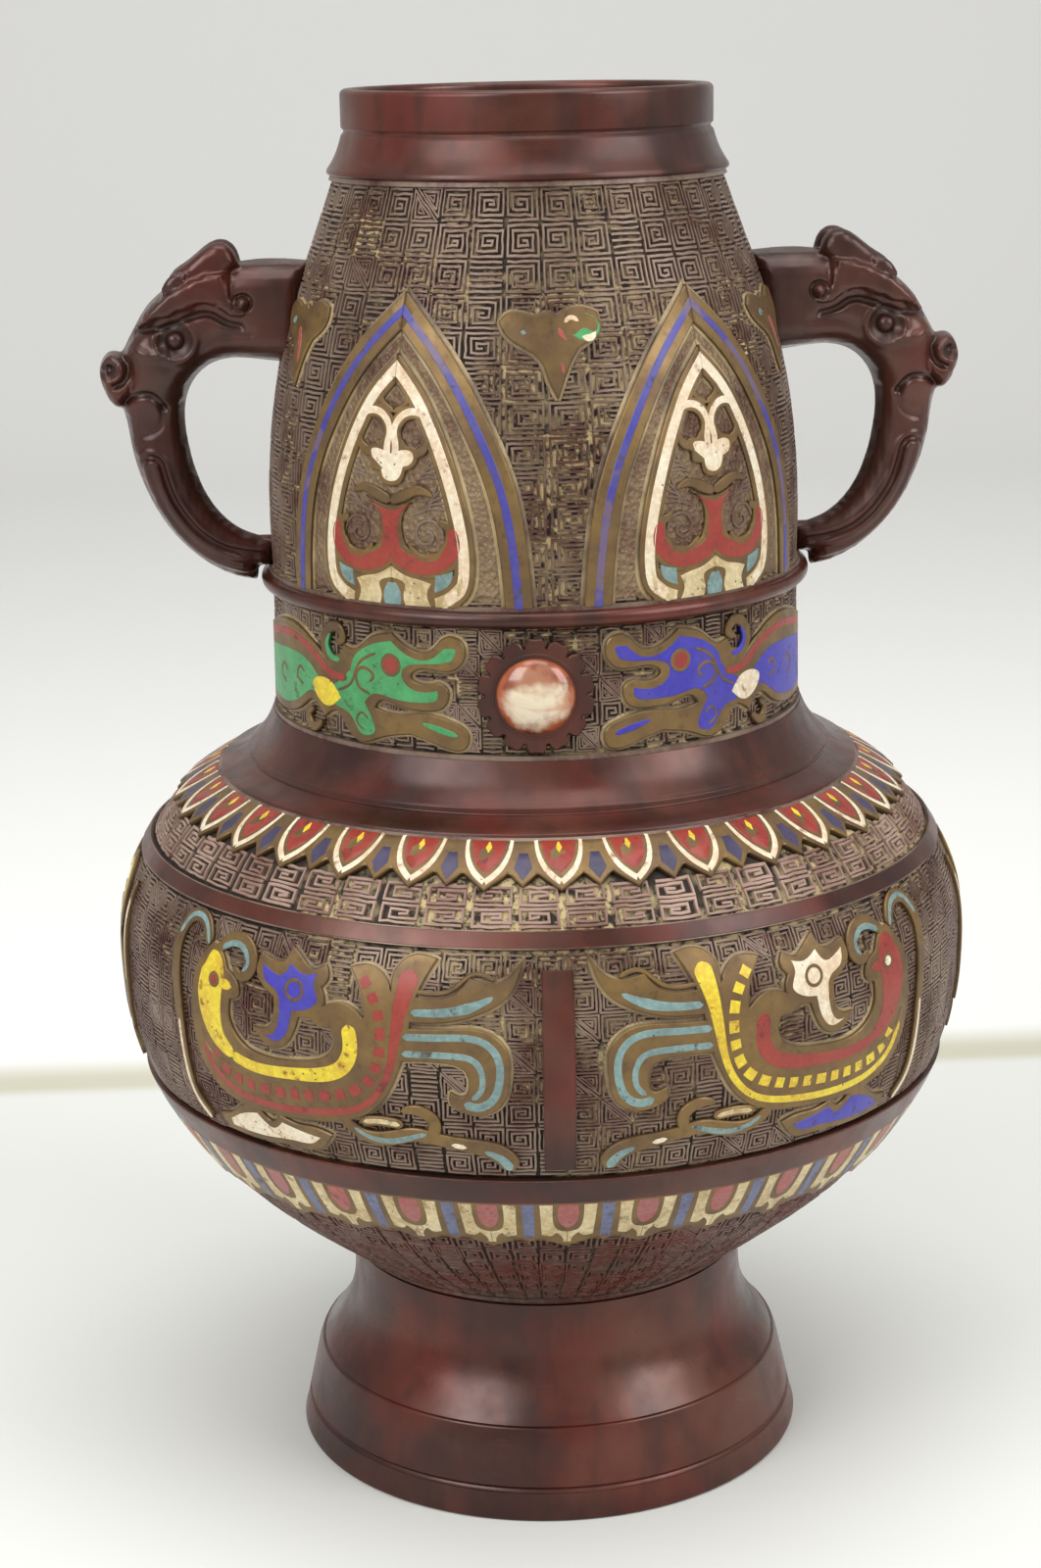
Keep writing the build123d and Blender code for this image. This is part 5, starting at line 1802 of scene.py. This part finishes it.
handle_side = outline(
    [
        (47.0, 269.6), (56.0, 270.2), (64.0, 269.4), (71.0, 267.6), (77.4, 264.4), (82.0, 260.4),
        (85.4, 255.6), (88.0, 250.8)
    ],
    [
        (88.0, 250.8), (87.4, 246.0), (88.4, 241.4), (87.7, 236.4), (86.6, 229.2), (84.2, 221.2),
        (80.4, 213.8), (75.6, 208.0), (69.8, 203.6), (64.8, 201.4), (60.7, 200.6)
    ],
    [(60.7, 200.6), (60.5, 203.7)], [(60.5, 203.7), (56.6, 204.0)], [(56.6, 204.0), (56.6, 209.6)],
    [
        (56.6, 209.6), (61.0, 210.8), (65.2, 212.8), (69.8, 217.6), (72.6, 223.3), (74.4, 230.2),
        (75.0, 237.1), (74.2, 242.0), (71.8, 245.9), (68.4, 248.3), (63.8, 249.2), (56.0, 248.4),
        (47.0, 247.4)
    ],
    [(47.0, 247.4), (47.0, 269.6)], step=1.0,
)
brow_side = outline(
    [
        (84.9, 256.4), (81.0, 257.0), (77.1, 257.9), (72.0, 259.8), (68.2, 260.2), (65.2, 258.6),
        (61.8, 257.6), (59.2, 259.2), (58.8, 262.4), (60.6, 264.2), (63.0, 263.8)
    ],
    [(63.0, 263.8), (63.4, 266.8), (64.0, 269.2)],
    [(64.0, 269.2), (71.0, 267.8), (77.4, 264.7), (82.0, 260.8), (84.9, 256.4)], step=0.8,
)
horn_side = outline(
    [(77.4, 265.0), (76.6, 267.4), (73.6, 269.6), (70.0, 272.4), (66.0, 274.2), (63.2, 272.8), (61.8, 269.0)],
    [(61.8, 269.0), (66.0, 266.4), (72.0, 264.6), (77.4, 265.0)], step=0.8,
)
leaf_side = outline(
    [(78.6, 264.2), (76.2, 267.6), (72.8, 268.2)], [(72.8, 268.2), (73.6, 265.4), (78.6, 264.2)], step=0.6
)
snout_side = outline(
    [
        (88.0, 251.0), (90.4, 251.3), (92.4, 249.2), (92.9, 245.8), (91.8, 242.2), (89.4, 239.2),
        (87.2, 239.6), (85.2, 242.6), (84.0, 246.6), (85.6, 250.2), (88.0, 251.0)
    ],
    step=0.8,
)[:-1]

raw = Build()
pillow(raw, handle_side, head_half, 5.6)
pillow(raw, brow_side, 9.9, 1.6)
pillow(raw, snout_side, 6.8, 2.6)
for hand in (1, -1):
    pillow(raw, horn_side, 3.0, 2.4, centre=4.6 * hand)
    pillow(raw, leaf_side, 1.4, 1.2, centre=7.6 * hand)
rough = bpy.data.meshes.new("Handle_rough")
rough.from_pydata((np.vstack(raw.points) * MM).tolist(), [], raw.faces)
holder = bpy.data.objects.new("Handle_rough", rough)
bpy.context.scene.collection.objects.link(holder)
remesh = holder.modifiers.new("Remesh", "REMESH")
remesh.mode = "VOXEL"
remesh.voxel_size = 0.42 * MM
soften = holder.modifiers.new("Soften", "SMOOTH")
soften.factor = 0.5
soften.iterations = 4
made = bpy.data.meshes.new_from_object(holder.evaluated_get(bpy.context.evaluated_depsgraph_get()))
bpy.data.objects.remove(holder)
carved = np.empty(len(made.vertices) * 3, np.float32)
made.vertices.foreach_get("co", carved)
carved = carved.reshape(-1, 3).astype(float) / MM
handle_faces = [tuple(p.vertices) for p in made.polygons]

flat = carved[:, [0, 2]]
on_side = np.clip((np.abs(carved[:, 1]) - 2.0) / 2.5, 0, 1)


def groove(path, width, depth):
    return -depth * np.exp(-(distance_to(spline(path), flat) / width) ** 2)


def dent(centre, radius, depth):
    return -depth * np.exp(-(np.linalg.norm(flat - centre, axis=1) / radius) ** 2)


def ring(centre, radius, width, height):
    return height * np.exp(-((np.linalg.norm(flat - centre, axis=1) - radius) / width) ** 2)


rib = spline([(82.6, 226.4), (80.8, 220.0), (77.0, 213.4), (72.4, 208.8), (66.4, 205.8), (60.0, 204.6)])
from_rib = distance_to(rib, flat)
eye_at = np.array((76.0, 253.9))
push = dent(eye_at, 3.3, 1.5) + ring(eye_at, 4.4, 0.8, 0.5)
push += 0.55 * np.clip((2.0 - from_rib) / 0.5, 0, 1) - 0.5 * np.exp(-((from_rib - 2.6) / 0.55) ** 2)
push += 0.35 * np.exp(-((from_rib - 3.6) / 0.5) ** 2) - 0.35 * np.exp(-(from_rib / 0.6) ** 2)
push += groove([(87.6, 241.0), (84.6, 242.4), (81.4, 242.2), (79.2, 239.6)], 0.8, 0.9)
push += groove([(79.2, 239.4), (80.2, 235.2), (83.4, 233.6)], 0.8, 0.35)
push += groove([(88.6, 251.4), (86.6, 248.6), (87.4, 245.2), (89.2, 244.4)], 0.7, 1.0)
push += dent((90.4, 247.8), 1.5, 2.2) + ring((90.4, 247.8), 2.4, 0.6, 0.3)
push += groove(
    [
        (84.4, 255.6), (81.0, 256.2), (77.1, 257.0), (72.2, 258.8), (68.2, 259.2), (65.4, 257.6),
        (61.8, 256.6)
    ],
    0.7, 0.9
)
push += dent((61.4, 261.4), 0.7, -0.7) - ring((61.4, 261.4), 1.7, 0.45, 0.7)
push += groove(
    [(78.0, 251.2), (82.0, 251.0), (85.4, 253.0)], 1.0, -0.6
) + groove([(70.6, 252.4), (66.4, 254.8), (60.0, 255.0)], 1.2, 0.35)
push *= 1.35 * on_side
wobble = (
    0.09 * np.sin(carved[:, 0] * 0.9 + 1.0)
    * np.sin(carved[:, 2] * 0.7) * np.sin(carved[:, 1] * 0.8 + 0.5)
)
carved[:, 1] += np.sign(carved[:, 1]) * (push + wobble)
# how deep each point lies in a carved groove or socket; the handle bronze paints shade from it
hollow = np.clip(-push / 0.9, 0, 1)

for name, hand in (("right", 1), ("left", -1)):
    b = Build()
    faces = handle_faces if hand > 0 else [tuple(reversed(f)) for f in handle_faces]
    b.add(carved * (hand, 1, 1), faces, hollow)
    for side in (1, -1):
        around, rings = 20, 7
        points = []
        for i in range(rings + 1):
            t = pi / 2 * i / rings
            for k in range(around):
                a = 2 * pi * k / around
                points.append(
                    (
                        hand * (76.0 + 2.1 * sin(t) * cos(a)), side * (6.1 + 2.3 * cos(t)),
                        253.9 + 2.1 * sin(t) * sin(a)
                    )
                )
        eye_faces = []
        for i in range(rings):
            for k in range(around):
                m = (k + 1) % around
                eye_faces.append((i * around + k, (i + 1) * around + k, (i + 1) * around + m, i * around + m))
        eye_faces.append(tuple(rings * around + k for k in range(around)))
        if hand * side > 0:
            eye_faces = [tuple(reversed(f)) for f in eye_faces]
        b.add(np.array(points), eye_faces, 0.0)
    b.make(f"Handle_{name}_carved", bronze_handle, "handle_bronze", (f"handle_{name}",), smooth=True)

for node, material in (("base_plate", bronze_smooth), ("handle_rivets", bronze_handle)):
    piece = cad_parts[node]
    piece.data.materials.clear()
    piece.data.materials.append(material)

# ---------------------------------------------------------------- room, lights and camera
def room():
    """A pale table whose back edge shows behind the vase, and a pale wall that the ground sweeps up to."""
    table = Graph("Pale_table_and_wall")
    along = table.nodes.new("ShaderNodeSeparateXYZ")
    table.links.new(table.where(), along.inputs[0])
    beyond = table.span(along.outputs["Y"], 0.212, 0.222)
    past_edge = table.span(along.outputs["Y"], 0.226, 0.250)
    top = table.mix(table.noise(4.0, 4), srgb(218, 219, 215), srgb(226, 227, 223))
    edge = table.mix(past_edge, srgb(200, 198, 178), srgb(238, 238, 236))
    table.finish(table.mix(beyond, top, edge), 0.8)
    section = [(-3.0, 0.0), (0.2, 0.0), (0.3, 0.0), (1.4, 0.0)]
    section += [(1.4 + 0.6 * sin(t), 0.6 - 0.6 * cos(t)) for t in np.linspace(0.1, pi / 2, 14)] + [(2.0, 3.5)]
    mesh = bpy.data.meshes.new("Table_and_wall")
    points = [(x, y, z) for y, z in section for x in (-4.0, 4.0)]
    mesh.from_pydata(points, [], [(2 * i, 2 * i + 1, 2 * i + 3, 2 * i + 2) for i in range(len(section) - 1)])
    mesh.materials.append(table.material)
    mesh.polygons.foreach_set("use_smooth", [True] * len(mesh.polygons))
    thing = bpy.data.objects.new("Table_and_wall", mesh)
    bpy.context.scene.collection.objects.link(thing)


def lamp(name, place, aim, size, power, tint=(1, 1, 1)):
    """A soft rectangular studio light."""
    light = bpy.data.lights.new(name, "AREA")
    light.shape = "RECTANGLE"
    light.size, light.size_y = size
    light.energy = power
    light.color = tint
    thing = bpy.data.objects.new(name, light)
    thing.location = place
    thing.rotation_mode = "QUATERNION"
    thing.rotation_quaternion = (Vector(aim) - Vector(place)).to_track_quat("-Z", "Y")
    bpy.context.scene.collection.objects.link(thing)


bpy.context.scene.view_settings.view_transform = "Standard"
room()
lamp("Key_left", (-0.75, -0.75, 0.85), (0, 0, 0.17), (0.7, 0.7), 9.0)
lamp("Key_right", (0.85, -0.55, 0.75), (0, 0, 0.16), (0.6, 0.7), 7.0)
lamp("Top", (0.0, -0.1, 1.3), (0, 0, 0.2), (1.0, 1.0), 9.0)
world = bpy.data.worlds.new("Room_light")
bpy.context.scene.world = world
world.use_nodes = True
world.node_tree.nodes["Background"].inputs["Color"].default_value = (0.96, 0.95, 0.93, 1)
world.node_tree.nodes["Background"].inputs["Strength"].default_value = 0.55

camera_distance = 0.626
camera_height = 0.320
camera_side = radians(3.0)
down = radians(15.01)
lean = radians(1.106)
camera_data = bpy.data.cameras.new("Camera")
camera_data.sensor_fit = "VERTICAL"
camera_data.sensor_width = 36.0
camera_data.sensor_height = 36.0
camera_data.lens = 66.13
camera_data.clip_start = 0.01
camera = bpy.data.objects.new("Camera", camera_data)
camera.location = (-camera_distance * sin(camera_side), -camera_distance * cos(camera_side), camera_height)
ahead = Vector(
    (
        sin(camera_side - radians(0.37)) * cos(down), cos(camera_side - radians(0.37)) * cos(down),
        -sin(down)
    )
)
camera.rotation_mode = "QUATERNION"
aimed = ahead.to_track_quat("-Z", "Y")
camera.rotation_quaternion = aimed @ Quaternion((0, 0, -1), lean)
bpy.context.scene.collection.objects.link(camera)
bpy.context.scene.camera = camera
